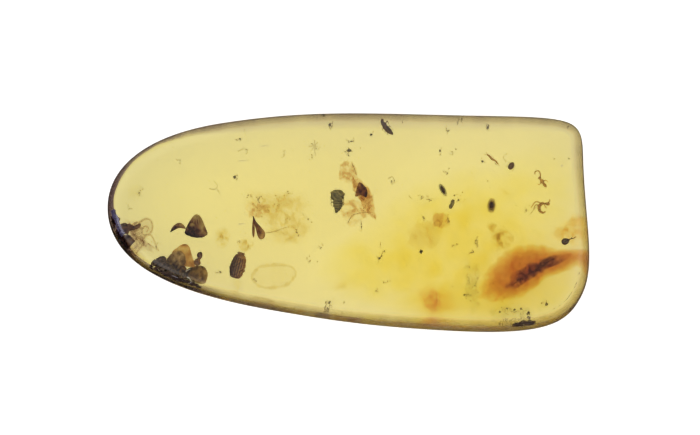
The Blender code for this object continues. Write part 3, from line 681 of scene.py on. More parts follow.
folded_husk = dry_surface(
    "folded_bud_scale",
    [(0.05, "#281a1c"), (0.35, "#5a3a3a"), (0.58, "#966c58"), (0.78, "#bc9870"), (1.0, "#dcc490")], 0.16, 0.4,
    clear=0.25, index=1.1,
)
WEDGE = [
    (-12.15, 0.22), (-11.9, 0.4), (-11.62, 0.3), (-11.42, 0.01), (-11.19, -0.54), (-10.99, -1.1),
    (-11.27, -1.34), (-11.74, -1.42), (-12.29, -1.34), (-12.77, -1.1), (-12.69, -0.7), (-12.42, -0.15),
]
WEDGE_FOLD = [(-12.2, -0.1), (-11.95, -0.35), (-11.85, -0.8), (-12.1, -1.25), (-12.55, -1.1), (-12.5, -0.6)]
wedge = fused(
    scrap(WEDGE, 0.3, crown=0.2, wrinkle=0.1, grain=0.4, fray=0.03, seed=5, count=110, rings=18),
    laid(scrap(WEDGE_FOLD, 0.12, crown=0.22, wrinkle=0.08, grain=0.3, seed=6), 0, 0, 0.16),
    *[thread([(-11.95 + d, 0.25, 0.2), (-11.9 + 1.4 * d, -0.4, 0.28), (-11.85 + 2.2 * d, -1.2, 0.2)], 0.03,
             0.02)
      for d in (-0.12, 0.04, 0.18)],
)
wedge = shaded(wedge, (0.2, 0.9, 0, 0.6), (1, 0, 0, 0.22))
piece("wedge_bud_scale", laid(wedge, 0, 0, 4.3), folded_husk, ["wedge_scale"])

CRESCENT = [
    (-13.92, -0.98), (-13.72, -0.55), (-13.32, -0.27), (-12.93, -0.35), (-12.7, -0.72), (-13.01, -0.66),
    (-13.32, -0.7), (-13.64, -0.86),
]
crescent = shaded(scrap(CRESCENT, 0.16, crown=0.1, wrinkle=0.06, grain=0.25, seed=8), (0.6, 0.6, 0, 0.45))
piece("crescent_of_husk", laid(crescent, 0, 0, 4.35), folded_husk, ["crescent_husk"])


# The stalked seed by the square end, and the pellet of frass, a crumbly rod of chewed wood.
seed = fused(
    body([(-0.3, 0, 0, 0.08, 0.08), (-0.2, 0, 0, 0.22, 0.2), (0.05, 0, 0, 0.27, 0.24),
          (0.26, 0, 0, 0.14, 0.12), (0.34, 0, 0, 0.05, 0.05)],
         count=30, sides=32, ridges=8, ridge_depth=0.1, rough=(0.12, 0.08)),
    thread([(0.2, 0, 0), (0.45, 0.03, 0), (0.7, 0, 0), (0.86, 0.05, 0)], 0.06, 0.02, 24),
    thread([(0.5, 0.03, 0), (0.62, 0.14, 0.02), (0.72, 0.2, 0.02)], 0.02, 0.01),
)
piece("seed_on_stalk", laid(seed, 16.95, -1.75, 4.5, 22), dark_chitin, ["stalked_seed"])
frass = body(
    [(-0.38, 0, 0, 0.09, 0.08), (-0.2, 0.02, 0, 0.16, 0.14), (0.02, -0.02, 0, 0.14, 0.12),
     (0.22, 0.02, 0, 0.16, 0.14), (0.38, 0, 0, 0.08, 0.07)],
    count=40, sides=32, rough=(0.09, 0.22),
)
piece("frass_pellet", laid(frass, 8.1, 1.2, 4.2, 68), olive_chitin, ["frass_rod"])


# The heap of plant scraps at the lower left: a flap of bark over a translucent leaf, a round seed coat with
# pale cracks, a stalk with two buds, and dark bark crumbs packed against the edge.
bark = dry_surface(
    "weathered_bark",
    [(0.1, "#2a1c1c"), (0.35, "#583e36"), (0.55, "#86684e"), (0.75, "#b4926c"), (1.0, "#dcbc90")], 0.18, 0.55,
    relief=0.6,
)
BARK_FLAP = [
    (-14.43, -3.51), (-14.19, -3.11), (-13.88, -2.72), (-13.48, -2.48), (-13.09, -2.46), (-12.77, -2.78),
    (-12.69, -3.27), (-12.85, -3.67), (-13.25, -3.91), (-13.64, -4.07), (-14.12, -4.23), (-14.43, -4.07),
]
FLAP_FOLD = [
    (-14.2, -3.4), (-13.9, -3.1), (-13.5, -2.8), (-13.1, -2.8), (-12.95, -3.3), (-13.3, -3.7), (-13.9, -3.9)
]
flap = fused(
    scrap(BARK_FLAP, 0.26, crown=0.25, wrinkle=0.14, grain=0.4, fray=0.03, seed=11, count=120, rings=20),
    laid(scrap(FLAP_FOLD, 0.12, crown=0.25, wrinkle=0.14, grain=0.3, fray=0.05, seed=12), 0, 0, 0.14),
)
flap = shaded(flap, (0.7, 0.7, 0, 0.2))
piece("bark_flap_piece", laid(flap, 0, 0, 4.65), bark, ["bark_flap"])

leaf_skin = dry_surface(
    "translucent_leaf_skin", [(0.1, "#946444"), (0.4, "#d09c68"), (0.7, "#ecc890"), (1.0, "#fcecc0")], 0.2,
    0.45, clear=0.7, index=1.05,
)
LEAF = [
    (-13.8, -2.6), (-13.48, -2.24), (-13.01, -1.92), (-12.61, -1.92), (-12.37, -2.2), (-12.22, -2.76),
    (-11.98, -3.39), (-12.06, -3.63), (-12.53, -3.63), (-13.01, -3.55), (-13.48, -3.39),
]
leaf = scrap(LEAF, 0.1, crown=0.06, wrinkle=0.08, grain=0.5, fray=0.04, seed=13)
piece("leaf_skin_piece", laid(leaf, 0, 0, 4.05), leaf_skin, ["leaf_scrap"])

SEED_COAT = [
    (-12.6, -3.7), (-12.2, -3.5), (-11.74, -3.42), (-11.27, -3.5), (-10.99, -4.0), (-11.11, -4.64),
    (-11.5, -4.95), (-12.06, -5.0), (-12.5, -4.95), (-12.75, -4.7), (-12.85, -4.24),
]
coat = fused(
    scrap(SEED_COAT, 0.42, crown=0.3, wrinkle=0.1, grain=0.35, fray=0.03, seed=14, count=110, rings=18),
    *[laid(scrap([(x * s, y * s) for x,
                  y in [(-0.4, 0.1), (0, 0.3), (0.4, 0.05), (0.2, -0.3), (-0.2, -0.25)]],
                 0.12, crown=0.08, wrinkle=0.08, grain=0.2, fray=0.1, seed=40 + n, count=40, rings=7),
           *spot)
      for n,
      (s, *spot) in enumerate([(0.9, -12.1, -4.15, 0.34, 20), (0.7, -11.6, -4.5, 0.36, 80),
                               (0.6, -12.3, -4.6, 0.3, 150)])],
)
coat = shaded(coat, (1, 0.1, 0, 0.4))
piece("round_seed_coat", laid(coat, 0, 0, 2.75), bark, ["seed_disc"])

buds = body(
    [(0.02, 0.5, 0, 0.1, 0.08), (0.06, 0.36, 0, 0.21, 0.17), (0.05, 0.12, 0, 0.19, 0.15),
     (0.0, -0.02, 0, 0.12, 0.1), (-0.1, -0.22, 0, 0.26, 0.2), (-0.12, -0.44, 0, 0.22, 0.16),
     (-0.12, -0.56, 0, 0.08, 0.06)],
    count=60, sides=32, rough=(0.12, 0.14),
)
piece(
    "bud_pair", laid(shaded(buds, (0.3, -0.6, 0, 0.3)), -11.66, -3.08, 4.95), brown_chitin,
    ["bud_stalk"],
)

# Dark bark crumbs fill the heap from the edge of the stone up to the flap.
RIM_MASS = [
    (-15.62, -3.55), (-15.3, -3.25), (-14.91, -3.05), (-14.43, -3.0), (-14.12, -3.25), (-13.8, -3.7),
    (-13.56, -4.15), (-13.6, -4.45), (-13.96, -4.55), (-14.51, -4.32), (-15.07, -3.98), (-15.5, -3.75),
]
crumb = scrap(RIM_MASS, 0.95, crown=0.3, wrinkle=0.25, grain=0.45, fray=0.06, seed=16, count=130, rings=20)
piece(
    "rim_bark_crumb", laid(shaded(crumb, (0, 0, 1, -0.2)), 0, 0, 2.7), dark_chitin,
    ["rim_crumb"],
)
HEAP_LUMPS = [
    (4.7, 0.4,
     [(-13.64, -4.12), (-13.24, -3.75), (-12.93, -3.6), (-12.62, -3.8), (-12.75, -4.28), (-13.24, -4.52),
      (-13.64, -4.52)]),
    (3.4, 0.6,
     [(-14.12, -4.03), (-13.32, -3.97), (-12.53, -4.13), (-12.53, -4.73), (-13.01, -4.86), (-13.55, -4.7),
      (-14.0, -4.45)]),
    (3.3, 0.3, [(-12.8, -4.6), (-12.2, -4.5), (-11.7, -4.7), (-11.9, -5.0), (-12.5, -5.0)]),
]
lumps = [
    laid(scrap(outline, deep, crown=0.15, wrinkle=0.18, grain=0.3, fray=0.08, seed=50 + n, rings=14), 0, 0, z)
    for n, (z, deep, outline) in enumerate(HEAP_LUMPS)
]
piece("heap_crumbs", fused(*lumps), dark_chitin)


# The curled husk and the dark scraps at the rounded tip. The husk is a crinkled film with raised, darker
# curls.
plum_husk = dry_surface(
    "plum_brown_curled_husk", [(0.1, "#3a2028"), (0.4, "#6c4644"), (0.7, "#a07a60"), (1.0, "#d8b890")], 0.2,
    0.4, clear=0.3, index=1.1,
)
TIP_SCRAPS = [
    (5.0, 0.22,
     [(-18.2, 0.21), (-17.99, 0.31), (-17.74, 0.05), (-17.8, -0.35), (-17.92, -0.58), (-18.12, -0.43)]),
    (4.9, 0.26,
     [(-17.8, -0.82), (-17.52, -0.51), (-17.12, -0.36), (-16.73, -0.54), (-16.3, -0.34), (-16.25, -0.58),
      (-16.57, -0.82), (-16.97, -0.9), (-17.36, -1.1), (-17.68, -1.1)]),
    (4.9, 0.42,
     [(-17.95, -1.36), (-17.66, -1.04), (-17.2, -1.14), (-16.81, -1.46), (-16.65, -1.78), (-16.97, -1.94),
      (-17.5, -1.84), (-17.8, -1.66)]),
    (4.8, 0.2, [(-17.5, -2.14), (-17.2, -2.0), (-16.81, -2.1), (-16.87, -2.32), (-17.28, -2.38)]),
    (2.6, 0.5, [(-17.8, -0.3), (-17.4, -0.1), (-17.1, -0.6), (-17.3, -1.2), (-17.7, -1.0)]),
]
scraps = [
    laid(scrap(outline, deep, crown=0.12, wrinkle=0.16, grain=0.25, fray=0.1, seed=60 + n, rings=12), 0, 0, z)
    for n, (z, deep, outline) in enumerate(TIP_SCRAPS)
]
piece("tip_scraps", fused(*scraps), plum_husk, ["tip_crumb"])
HUSK_CURLS = [
    [(-16.33, -0.23), (-15.86, 0.05), (-15.46, -0.07), (-15.3, -0.55), (-15.46, -1.03), (-15.86, -1.27),
     (-16.17, -0.95)],
    [(-16.02, -1.51), (-15.78, -1.19), (-15.38, -1.27), (-15.07, -1.9), (-14.83, -2.46)],
    [(-16.97, -0.55), (-16.49, -0.23), (-16.25, -0.55), (-16.57, -0.87), (-16.97, -0.95)],
    [(-16.81, -1.11), (-16.41, -1.43), (-16.02, -1.74), (-16.25, -2.22), (-16.73, -2.3)],
    [(-16.17, -0.79), (-15.86, -0.55), (-15.62, -0.71), (-15.78, -1.03)],
]
HUSK_FILM = [
    (-16.9, -0.3), (-16.4, -0.12), (-15.8, 0.1), (-15.4, -0.15), (-15.25, -0.7), (-15.5, -1.2), (-15.9, -1.6),
    (-16.05, -2.15), (-16.5, -2.35), (-16.8, -1.9), (-16.6, -1.2), (-16.9, -0.9),
]
curls = [thread([(x, y, 0.08 * n) for x, y in line], 0.11, 0.07, 50, 12) for n, line in enumerate(HUSK_CURLS)]
film = scrap(HUSK_FILM, 0.08, crown=0.15, wrinkle=0.25, grain=0.35, fray=0.08, seed=70, count=120, rings=20)
film_skin = see_through("crinkled_husk_film", "#bc9458", 3800.0)
piece("curled_husk", laid(fused(*curls), 0, 0, 4.35), film_skin, ["husk_roll"])
piece("crinkled_husk_film", laid(film, 0, 0, 4.0), film_skin)


# Scraps in the middle and at the square end: a red bud scale, a flake of leaf, and the dark blade that
# bleeds the big stain. The last chip lies open at the very edge of the stone.
scale = scrap(
    [(-0.15, 0.55), (0.22, 0.32), (0.5, -0.1), (0.42, -0.62), (0.0, -0.46), (-0.46, -0.55), (-0.36, 0.0)],
    thickness=0.16, crown=0.12, wrinkle=0.08, grain=0.3, fray=0.04, seed=21,
)
scale = shaded(scale, (-1, 0, 0, 0.3))
piece("red_bud_scale", laid(scale, 1.0, 2.3, 4.6, roll=-12), red_membrane, ["red_scale"])
flake = scrap(
    [(-0.4, 0.42), (0.1, 0.56), (0.42, 0.4), (0.36, -0.2), (0.16, -0.54), (-0.3, -0.46), (-0.46, 0.0)],
    thickness=0.1, crown=0.06, wrinkle=0.03, grain=0.4, fray=0.03, seed=22,
)
soaked_leaf = see_through("amber_soaked_leaf", "#dcae30", 5200.0)
piece("leaf_flake_piece", laid(flake, 7.05, 0.05, 2.7), soaked_leaf, ["leaf_flake"])
blade = body(
    [(-2.05, 0.0, 0, 0.03, 0.04), (-1.45, 0.05, 0, 0.09, 0.08), (-0.7, -0.05, 0, 0.16, 0.12),
     (0.2, 0.0, 0, 0.22, 0.16), (1.1, 0.12, 0, 0.26, 0.18), (1.75, 0.05, 0, 0.2, 0.14),
     (2.1, 0.0, 0, 0.06, 0.05)],
    count=90, sides=36, rough=(0.9, 0.12),
)
resin_soaked = see_through("resin_soaked_leaf_blade", "#6a2a3c", 2600.0)
piece("soaked_blade", laid(blade, 14.55, -3.95, 3.4, 33), resin_soaked, ["leaf_blade"])
chip = scrap(
    [(-0.55, -0.16), (-0.3, 0.16), (0.1, 0.26), (0.45, 0.14), (0.58, -0.14), (0.0, -0.2)], thickness=0.24,
    crown=0.1, wrinkle=0.05, grain=0.3, fray=0.04, seed=23,
)
piece("edge_chip_piece", laid(chip, 13.7, -8.2, 2.8), dark_chitin, ["edge_chip"])


# The stains: plant juice that bled into the resin, and below the ridged beetle a smear that is a painted
# shadow. Each is a soft body of its own, thick in the middle and drawn out to nothing at its edge, so that
# its colour fades outwards.


def stain(name, outline, z, thickness, material, softness=1.5, mottle=0.4, patch=1.0, rim=0.0, seed=0):
    """A lens of stained resin over the outline, mottled and threaded in patches of the given size, frayed
    at its edge, and with a raised rim where the juice dried last."""
    rough_edge = eased(outline, 40, closed=True)
    middle = rough_edge.mean(axis=0)
    reach = np.linalg.norm(rough_edge - middle, axis=1).max()
    spacing = np.clip(patch * 0.17, 0.06, 0.5)
    edge = eased(outline, int(max(50, 5.5 * reach / spacing)), closed=True)
    fray = min(0.22, 0.45 / reach)
    frays = [1 + fray * noise.fractal(Vector((*point, seed)) / 0.6, 0.6, 2.2, 4) for point in edge]
    edge = middle + (edge - middle) * np.array(frays)[:, None]
    shares = np.linspace(0.03, 1, int(max(12, reach / spacing)))
    upper, lower = [], []
    for share in shares:
        flat = middle + (edge - middle) * share
        spots = [Vector((*point, seed * 7.3)) / patch for point in flat]
        cloud = np.array([noise.fractal(spot, 0.5, 2.1, 5) for spot in spots])
        strands = np.array([noise.ridged_multi_fractal(spot * 0.7, 0.8, 2.1, 4, 1.0, 2.0) for spot in spots])
        patches = np.clip((cloud + 0.35) / 0.8, 0, 1)
        dense = 0.5 * patches * patches * (3 - 2 * patches) + np.clip((strands - 1.1) / 0.6, 0, 1) ** 1.5
        dense = 1 - mottle + mottle * 2 * dense
        drift = np.array([noise.noise(spot * 0.6 + Vector((0, 0, 40))) for spot in spots])
        rise = (1 - share**2) ** softness + rim * math.exp(-(((share - 0.86) / 0.07) ** 2))
        half = thickness / 2 * rise * np.clip(dense, 0.06, 2) * (share < 1)
        upper.append(np.column_stack([flat, z + 0.15 * drift + half]))
        lower.append(np.column_stack([flat, z + 0.15 * drift - half]))
    count, rings = len(edge), len(shares)
    # Both faces are cut along the same diagonals, so that they never cross where the lens is thin.
    above = np.arange(count * rings).reshape(rings, count)
    below = above + count * rings
    below[-1] = above[-1]
    faces = [tuple(above[0]), tuple(below[0, ::-1])]
    for sheet, turn in ((above, -1), (below, 1)):
        after = np.roll(sheet, -1, axis=1)
        corners = np.stack([sheet[:-1], sheet[1:], after[1:], after[:-1]], axis=-1).reshape(-1, 4)
        faces += [(corner[0], *corner[:0:-1]) if turn < 0 else tuple(corner) for corner in corners.tolist()]
    return piece(name, (np.vstack([*upper, *lower[:-1]]), faces), material)


pale_halo = see_through("yellow_orange_stain", "#f2d420", 1350.0)
orange_stain = see_through("orange_plant_stain", "#e07410", 480.0)
brown_stain = see_through("brown_plant_stain", "#8a38c0", 1300.0)
stain(
    "big_stain_halo",
    [(10.35, -5.66), (10.51, -4.46), (11.22, -3.35), (12.25, -2.47), (13.36, -1.99), (14.62, -1.91),
     (15.97, -2.07), (17.23, -2.31), (18.4, -2.47), (18.4, -2.87), (17.87, -3.59), (16.76, -4.14),
     (15.57, -4.54), (14.62, -5.34), (13.43, -6.05), (12.17, -6.29), (10.98, -6.29)],
    3.4, 2.2, pale_halo, softness=0.7, mottle=0.2, patch=0.9,
)
stain(
    "big_stain",
    [(10.6, -5.6), (10.9, -4.3), (11.75, -3.33), (12.8, -2.6), (13.99, -2.29), (15.57, -2.29), (16.76, -2.45),
     (18.34, -2.61), (17.71, -3.45), (16.44, -3.93), (15.33, -4.4), (14.23, -5.28), (12.96, -5.92),
     (11.6, -6.07)],
    3.4, 1.75, orange_stain, softness=1.0, mottle=0.3, patch=0.7,
)
stain(
    "big_stain_heart",
    [(12.25, -5.18), (12.64, -4.38), (13.59, -3.67), (14.78, -3.11), (16.13, -2.79), (17.55, -2.71),
     (16.76, -3.35), (15.57, -3.83), (14.62, -4.46), (13.59, -5.1), (12.8, -5.5)],
    3.4, 1.15, brown_stain, softness=1.2, mottle=0.5, patch=0.6,
)
# Veins and torn fibres of the blade run side by side through the darkest part of the stain.
VEIN_LINE = [(12.7, -5.2), (13.4, -4.5), (14.2, -3.95), (15.2, -3.5), (16.2, -3.05), (17.3, -2.75)]
VEINS = [  # start and end along the line, offset to its side, height
    (0.0, 0.42, 0.0, 3.9), (0.1, 0.75, 0.1, 3.5), (0.22, 0.8, -0.08, 3.8), (0.3, 0.92, 0.2, 3.3),
    (0.34, 0.86, -0.2, 3.6), (0.4, 1.0, 0.05, 3.4), (0.18, 0.58, 0.26, 3.7), (0.46, 0.82, 0.14, 3.9),
    (0.14, 0.5, -0.18, 3.3), (0.52, 0.95, -0.06, 3.9), (0.05, 0.34, 0.14, 3.5), (0.6, 0.9, 0.24, 3.6),
]
vein_line = eased(VEIN_LINE, 60)
lines = []
for start, end, offset, height in VEINS:
    stretch = vein_line[int(59 * start) : int(59 * end) + 1 : 4]
    sway = [0.12 * noise.noise(Vector((*point, height * 9)) / 0.7) for point in stretch]
    lines.append(
        [(x - 0.5 * (offset + w), y + offset + w, height) for (x, y), w in zip(stretch, sway, strict=True)]
    )
plum_fibre = see_through("plum_leaf_fibre", "#6a3040", 3600.0)
fibres = [thread(line, 0.06, 0.025, 40, 8) for line in lines]
piece("stain_heart_fibres", fused(*fibres), plum_fibre)
light_orange = see_through("light_orange_stain", "#e2cc30", 640.0)
tan_film = see_through("tan_leaf_film", "#dab030", 1600.0)
plum_film = see_through("plum_brown_husk_film", "#a87060", 1900.0)
grey_haze = see_through("grey_green_haze", "#b4b490", 420.0)
warm_layer = see_through("deeper_yellow_layer", "#faf100", 250.0)
SMALL_STAINS = [
    ("orange_spot_haze", pale_halo, 3.0, 0.6, 1.8, 0.4, 1.0,
     [(5.0, -5.2), (6.63, -4.75), (8.21, -5.23), (8.9, -6.34), (8.5, -7.1), (7.26, -7.62), (5.8, -7.38),
      (5.2, -6.4)]),
    ("orange_spot", orange_stain, 3.0, 1.2, 1.2, 0.5, 0.5,
     [(5.8, -5.65), (6.47, -5.25), (7.1, -5.45), (7.45, -6.11), (7.42, -6.75), (6.78, -7.28), (6.07, -7.06),
      (5.8, -6.34)]),
    ("upper_cloud", light_orange, 3.6, 0.9, 1.1, 0.75, 0.6,
     [(-8.18, 2.21), (-7.15, 2.45), (-6.2, 1.89), (-5.01, 2.21), (-3.82, 2.37), (-2.87, 1.42), (-2.79, 0.14),
      (-2.87, -1.21), (-3.82, -2.01), (-5.09, -1.45), (-6.2, -0.97), (-6.83, -0.18), (-7.94, 0.46),
      (-8.34, 1.34)]),
    ("upper_cloud_core", tan_film, 4.0, 0.45, 0.9, 0.9, 0.4,
     [(-8.1, 1.07), (-7.31, 1.39), (-6.2, 1.23), (-6.04, 0.59), (-6.83, 0.11), (-7.78, 0.19)]),
    ("upper_cloud_lobe", light_orange, 3.8, 0.7, 1.3, 0.7, 0.6,
     [(-6.83, 1.88), (-5.72, 2.2), (-4.46, 2.12), (-4.06, 1.32), (-4.93, 0.61), (-6.04, 0.76)]),
    ("upper_cloud_foot", light_orange, 3.4, 0.65, 1.3, 0.7, 0.6,
     [(-6.67, -0.64), (-5.41, -0.48), (-3.82, -0.32), (-3.11, -0.96), (-3.82, -1.76), (-5.41, -2.07),
      (-6.36, -1.6)]),
    ("left_blotch", light_orange, 3.8, 1.5, 1.5, 0.9, 0.4,
     [(-10.47, -0.83), (-9.84, -0.51), (-9.21, -0.83), (-9.29, -1.62), (-9.68, -2.34), (-10.24, -2.02),
      (-10.39, -1.38)]),
    ("small_blotch", light_orange, 3.8, 1.7, 1.5, 0.9, 0.4,
     [(-8.73, -1.62), (-8.02, -1.38), (-7.31, -1.54), (-7.47, -2.18), (-8.1, -2.58), (-8.65, -2.18)]),
    ("film_over_scale", tan_film, 4.4, 0.55, 0.6, 0.85, 0.5,
     [(-0.74, 4.15), (-0.1, 4.47), (0.45, 4.15), (0.69, 3.43), (0.29, 2.95), (-0.26, 2.79), (-0.74, 3.19)]),
    ("film_beside_scale", tan_film, 4.4, 1.9, 1.0, 0.5, 0.6,
     [(0.29, 3.43), (0.77, 3.11), (1.4, 2.63), (1.88, 1.84), (2.03, 0.88), (2.19, 0.09), (1.72, 0.25),
      (1.08, 0.88), (0.77, 1.68), (0.29, 2.32)]),
    ("film_under_scale", tan_film, 4.4, 0.5, 0.6, 0.88, 0.5,
     [(-0.66, 1.04), (-0.02, 1.6), (0.77, 1.52), (1.4, 0.96), (1.88, 0.25), (1.08, -0.07), (0.13, -0.55),
      (-0.5, 0.09)]),
    ("leaf_lobe", light_orange, 2.6, 0.85, 0.5, 0.45, 0.9,
     [(4.49, -0.98), (5.2, -0.27), (6.31, -0.03), (7.26, -0.27), (7.42, -1.06), (6.78, -2.02), (5.83, -2.34),
      (4.88, -2.02)]),
    ("leaf_square", tan_film, 2.7, 0.5, 0.7, 0.4, 0.5,
     [(6.55, 0.52), (7.26, 0.68), (7.97, 0.2), (8.05, -0.35), (7.34, -0.59), (6.63, -0.51)]),
    ("brown_haze", light_orange, 3.4, 2.6, 1.4, 0.8, 0.6,
     [(10.98, -0.48), (11.53, -0.16), (12.25, -0.64), (12.88, -1.28), (12.64, -2.07), (12.01, -2.47),
      (11.3, -1.99), (11.14, -1.28)]),
    ("orange_wisp", light_orange, 4.2, 0.4, 0.8, 0.5, 0.3,
     [(11.77, 2.49), (12.41, 2.33), (12.88, 2.01), (12.48, 1.85), (11.85, 2.17)]),
    ("square_end_haze", pale_halo, 3.6, 0.9, 1.8, 0.6, 0.6,
     [(15.6, -1.1), (16.6, -0.2), (17.5, 0.6), (18.3, 0.8), (18.5, -0.9), (18.3, -2.1), (16.6, -2.0)]),
    ("big_stain_tail", orange_stain, 4.2, 0.8, 1.2, 0.4, 0.6,
     [(15.6, -2.6), (16.6, -2.3), (17.8, -2.2), (18.45, -2.45), (18.2, -3.2), (17.2, -3.5), (16.2, -3.3)]),
    ("crinkled_film", plum_film, 4.4, 0.5, 0.8, 0.6, 0.35,
     [(-17.6, -0.39), (-17.28, 0.01), (-16.49, -0.15), (-16.02, -0.71), (-15.86, -1.51), (-15.07, -2.3),
      (-15.54, -2.62), (-16.33, -2.22), (-17.0, -2.2), (-17.4, -1.66)]),
    ("tip_smear", light_orange, 4.0, 0.4, 1.2, 0.5, 0.6,
     [(-17.28, 2.34), (-16.65, 2.74), (-15.86, 2.5), (-16.02, 1.79), (-16.81, 1.47), (-17.36, 1.79)]),
    # Painted shadow: this faint smear below the ridged beetle stands in for the beetle's shadow.
    ("beetle_painted_shadow", light_orange, 4.0, 0.5, 1.0, 0.5, 0.4,
     [(-8.95, -4.6), (-8.3, -4.7), (-8.49, -5.46), (-8.81, -5.5)]),
    ("pale_bubble_fill", light_orange, 3.6, 0.22, 0.3, 0.4, 0.6,
     [(-7.54, -4.32), (-6.83, -3.6), (-5.72, -3.44), (-4.46, -3.6), (-4.14, -4.16), (-4.77, -4.87),
      (-6.04, -5.27), (-7.15, -5.03)]),
    ("low_blotch", light_orange, 3.2, 0.35, 1.6, 0.8, 0.7,
     [(-1.75, -4.95), (-0.8, -4.45), (0.45, -4.5), (1.3, -4.8), (0.9, -5.35), (-0.5, -5.5), (-1.5, -5.4)]),
    ("grey_column", grey_haze, 3.8, 1.0, 1.0, 0.8, 0.5,
     [(9.08, -3.37), (9.79, -3.14), (10.35, -4.01), (10.27, -5.76), (10.43, -7.04), (9.63, -7.35),
      (9.16, -6.24), (8.92, -4.81)]),
    ("grey_drift", grey_haze, 3.4, 0.9, 1.0, 0.8, 0.4,
     [(10.9, -7.01), (12.01, -6.53), (13.59, -6.61), (14.7, -7.01), (14.54, -7.45), (12.8, -7.61),
      (11.22, -7.53)]),
    ("end_yellow_layer", warm_layer, 3.6, 1.1, 1.4, 0.3, 2.0,
     [(12.0, 4.8), (14.5, 5.9), (16.8, 5.6), (17.9, 4.0), (18.0, 1.0), (16.5, 0.2), (13.5, 1.2),
      (11.6, 3.0)]),
    ("lower_yellow_layer", warm_layer, 3.1, 3.8, 1.0, 0.3, 3.0,
     [(3.5, -6.2), (6.5, -4.8), (10.0, -4.4), (14.0, -4.6), (17.2, -3.4), (17.9, -5.2), (16.6, -7.0),
      (14.0, -7.8), (8.0, -7.9), (4.0, -7.3)]),
    ("deep_yellow_layer", warm_layer, 3.1, 3.8, 1.0, 0.35, 3.0,
     [(-2.5, -3.33), (1.2, -0.2), (4.88, 2.6), (10.0, 4.2), (14.8, 3.6), (17.9, 0.2), (17.6, -5.3),
      (14.8, -7.2), (8.05, -7.7), (2.51, -6.9), (-1.6, -5.4)]),
]
for number, (name, resin, z, thickness, softness, mottle, patch, outline) in enumerate(SMALL_STAINS):
    rim = 0.2 if resin is tan_film else 0.0
    stain(name, outline, z, thickness, resin, softness, mottle, patch, rim, seed=number + 1)


# Hairs, roots and twig ends: fine brown threads that drifted into the resin. The pale sparks are painted
# highlights: white threads just under the surface that stand in for the glints of thin gas-filled cracks,
# and the pale cracks on the seed coat are painted glints the same way.
DRIFT_HEIGHT = 4.4  # where most of what drifted into the resin came to rest
HAIRS = [
    [(0.29, 4.31), (0.53, 3.75), (0.77, 2.95)], [(-0.02, -0.31), (0.29, 0.25), (0.93, 0.48), (1.4, 0.56)],
    [(1.01, -0.15), (1.04, -0.95)], [(-6.44, -1.03), (-5.8, -0.95), (-5.17, -0.71), (-4.62, -0.55)],
    [(-10.87, 2.4), (-10.47, 2.32), (-10.24, 2.63), (-10.55, 3.03)], [(-10.24, 2.32), (-10.0, 1.92)],
    [(-2.95, 5.9), (-2.64, 5.66), (-2.4, 5.34)], [(-2.4, 5.98), (-2.72, 5.58), (-2.95, 5.26)],
    [(-3.11, 5.66), (-2.64, 5.66), (-2.24, 5.58)], [(-2.64, 6.14), (-2.64, 5.5), (-2.56, 4.86)],
    [(3.14, 3.11), (3.46, 3.27), (3.62, 2.87), (3.3, 2.63)], [(10.07, -1.66), (10.11, -2.22)],
    [(9.71, -2.38), (9.56, -2.78)], [(2.51, -1.74), (2.51, -2.3)],
    [(2.75, -2.46), (2.51, -2.94), (2.27, -3.5)], [(15.49, -6.28), (15.41, -6.6), (15.33, -6.84)],
    [(-8.65, 5.26), (-8.34, 5.42), (-8.1, 5.58)], [(-10.39, -4.13), (-10.08, -4.09), (-9.84, -4.05)],
    [(-1.61, -6.28), (-1.77, -6.44), (-1.45, -6.68), (-1.21, -6.52)], [(8.21, 1.84), (8.61, 2.0)],
    [(8.45, 1.36), (8.84, 1.6)], [(14.23, 0.41), (14.54, 0.8), (14.86, 1.12)], [(6.07, 1.56), (6.71, 1.6)],
    [(4.73, 1.84), (4.96, 1.6)], [(10.11, -1.35), (9.95, -1.66)],
]
root_hair = see_through("resin_soaked_hair", "#7c6438", 7000.0)
hairs = [thread([(x, y, DRIFT_HEIGHT) for x, y in line], 0.055, 0.03, 20, 8) for line in HAIRS]
piece("root_hairs", fused(*hairs), root_hair)
BUBBLE_SKIN = [
    (-7.54, -4.32), (-7.23, -3.84), (-6.67, -3.56), (-5.72, -3.44), (-4.77, -3.52), (-4.22, -3.76),
    (-4.14, -4.24), (-4.69, -4.87), (-5.8, -5.19), (-6.83, -5.11), (-7.39, -4.71), (-7.54, -4.32),
]
ring_line = [(x, y, 3.6, 0.13, 0.1) for x, y in BUBBLE_SKIN]
bubble_ring = see_through("tan_bubble_skin", "#dcc450", 2200.0)
piece("flat_bubble_ring", body(ring_line, 200, 14, rough=(0.35, 0.9)), bubble_ring)
# Painted highlight: a plain white surface in the place of the cracks' mirror shine.
painted_glint_white = dry_surface("white_painted_glint", [(0.0, "#f4f0e8"), (1.0, "#ffffff")], 0.2, 0.15, relief=0.1)
GLINT_CRACKS = [
    ([(-6.83, 5.6), (-6.52, 5.66), (-6.2, 5.66)], 5.6, 0.035),
    ([(-8.57, 4.46), (-8.18, 4.5), (-7.78, 4.5)], 5.6, 0.03),
    ([(-8.57, -0.47), (-8.26, -0.43), (-8.02, -0.43)], 5.6, 0.04),
    ([(16.64, 4.14), (16.72, 4.14), (16.78, 4.16)], 5.6, 0.07),
    ([(-13.8, -4.55), (-13.48, -4.66), (-13.16, -4.58), (-12.93, -4.54)], 5.9, 0.04),
    ([(-12.67, -4.64), (-12.48, -4.55), (-12.27, -4.73), (-12.22, -5.0), (-12.4, -5.08)], 5.9, 0.045),
    ([(-12.67, -4.12), (-12.32, -3.94)], 5.6, 0.035),
]
glint_threads = [thread([(x, y, z) for x, y in line], thick, thick * 0.4, 20, 8) for line, z, thick in GLINT_CRACKS]
ground_flush(piece("painted_glint_cracks", fused(*glint_threads), painted_glint_white).data)


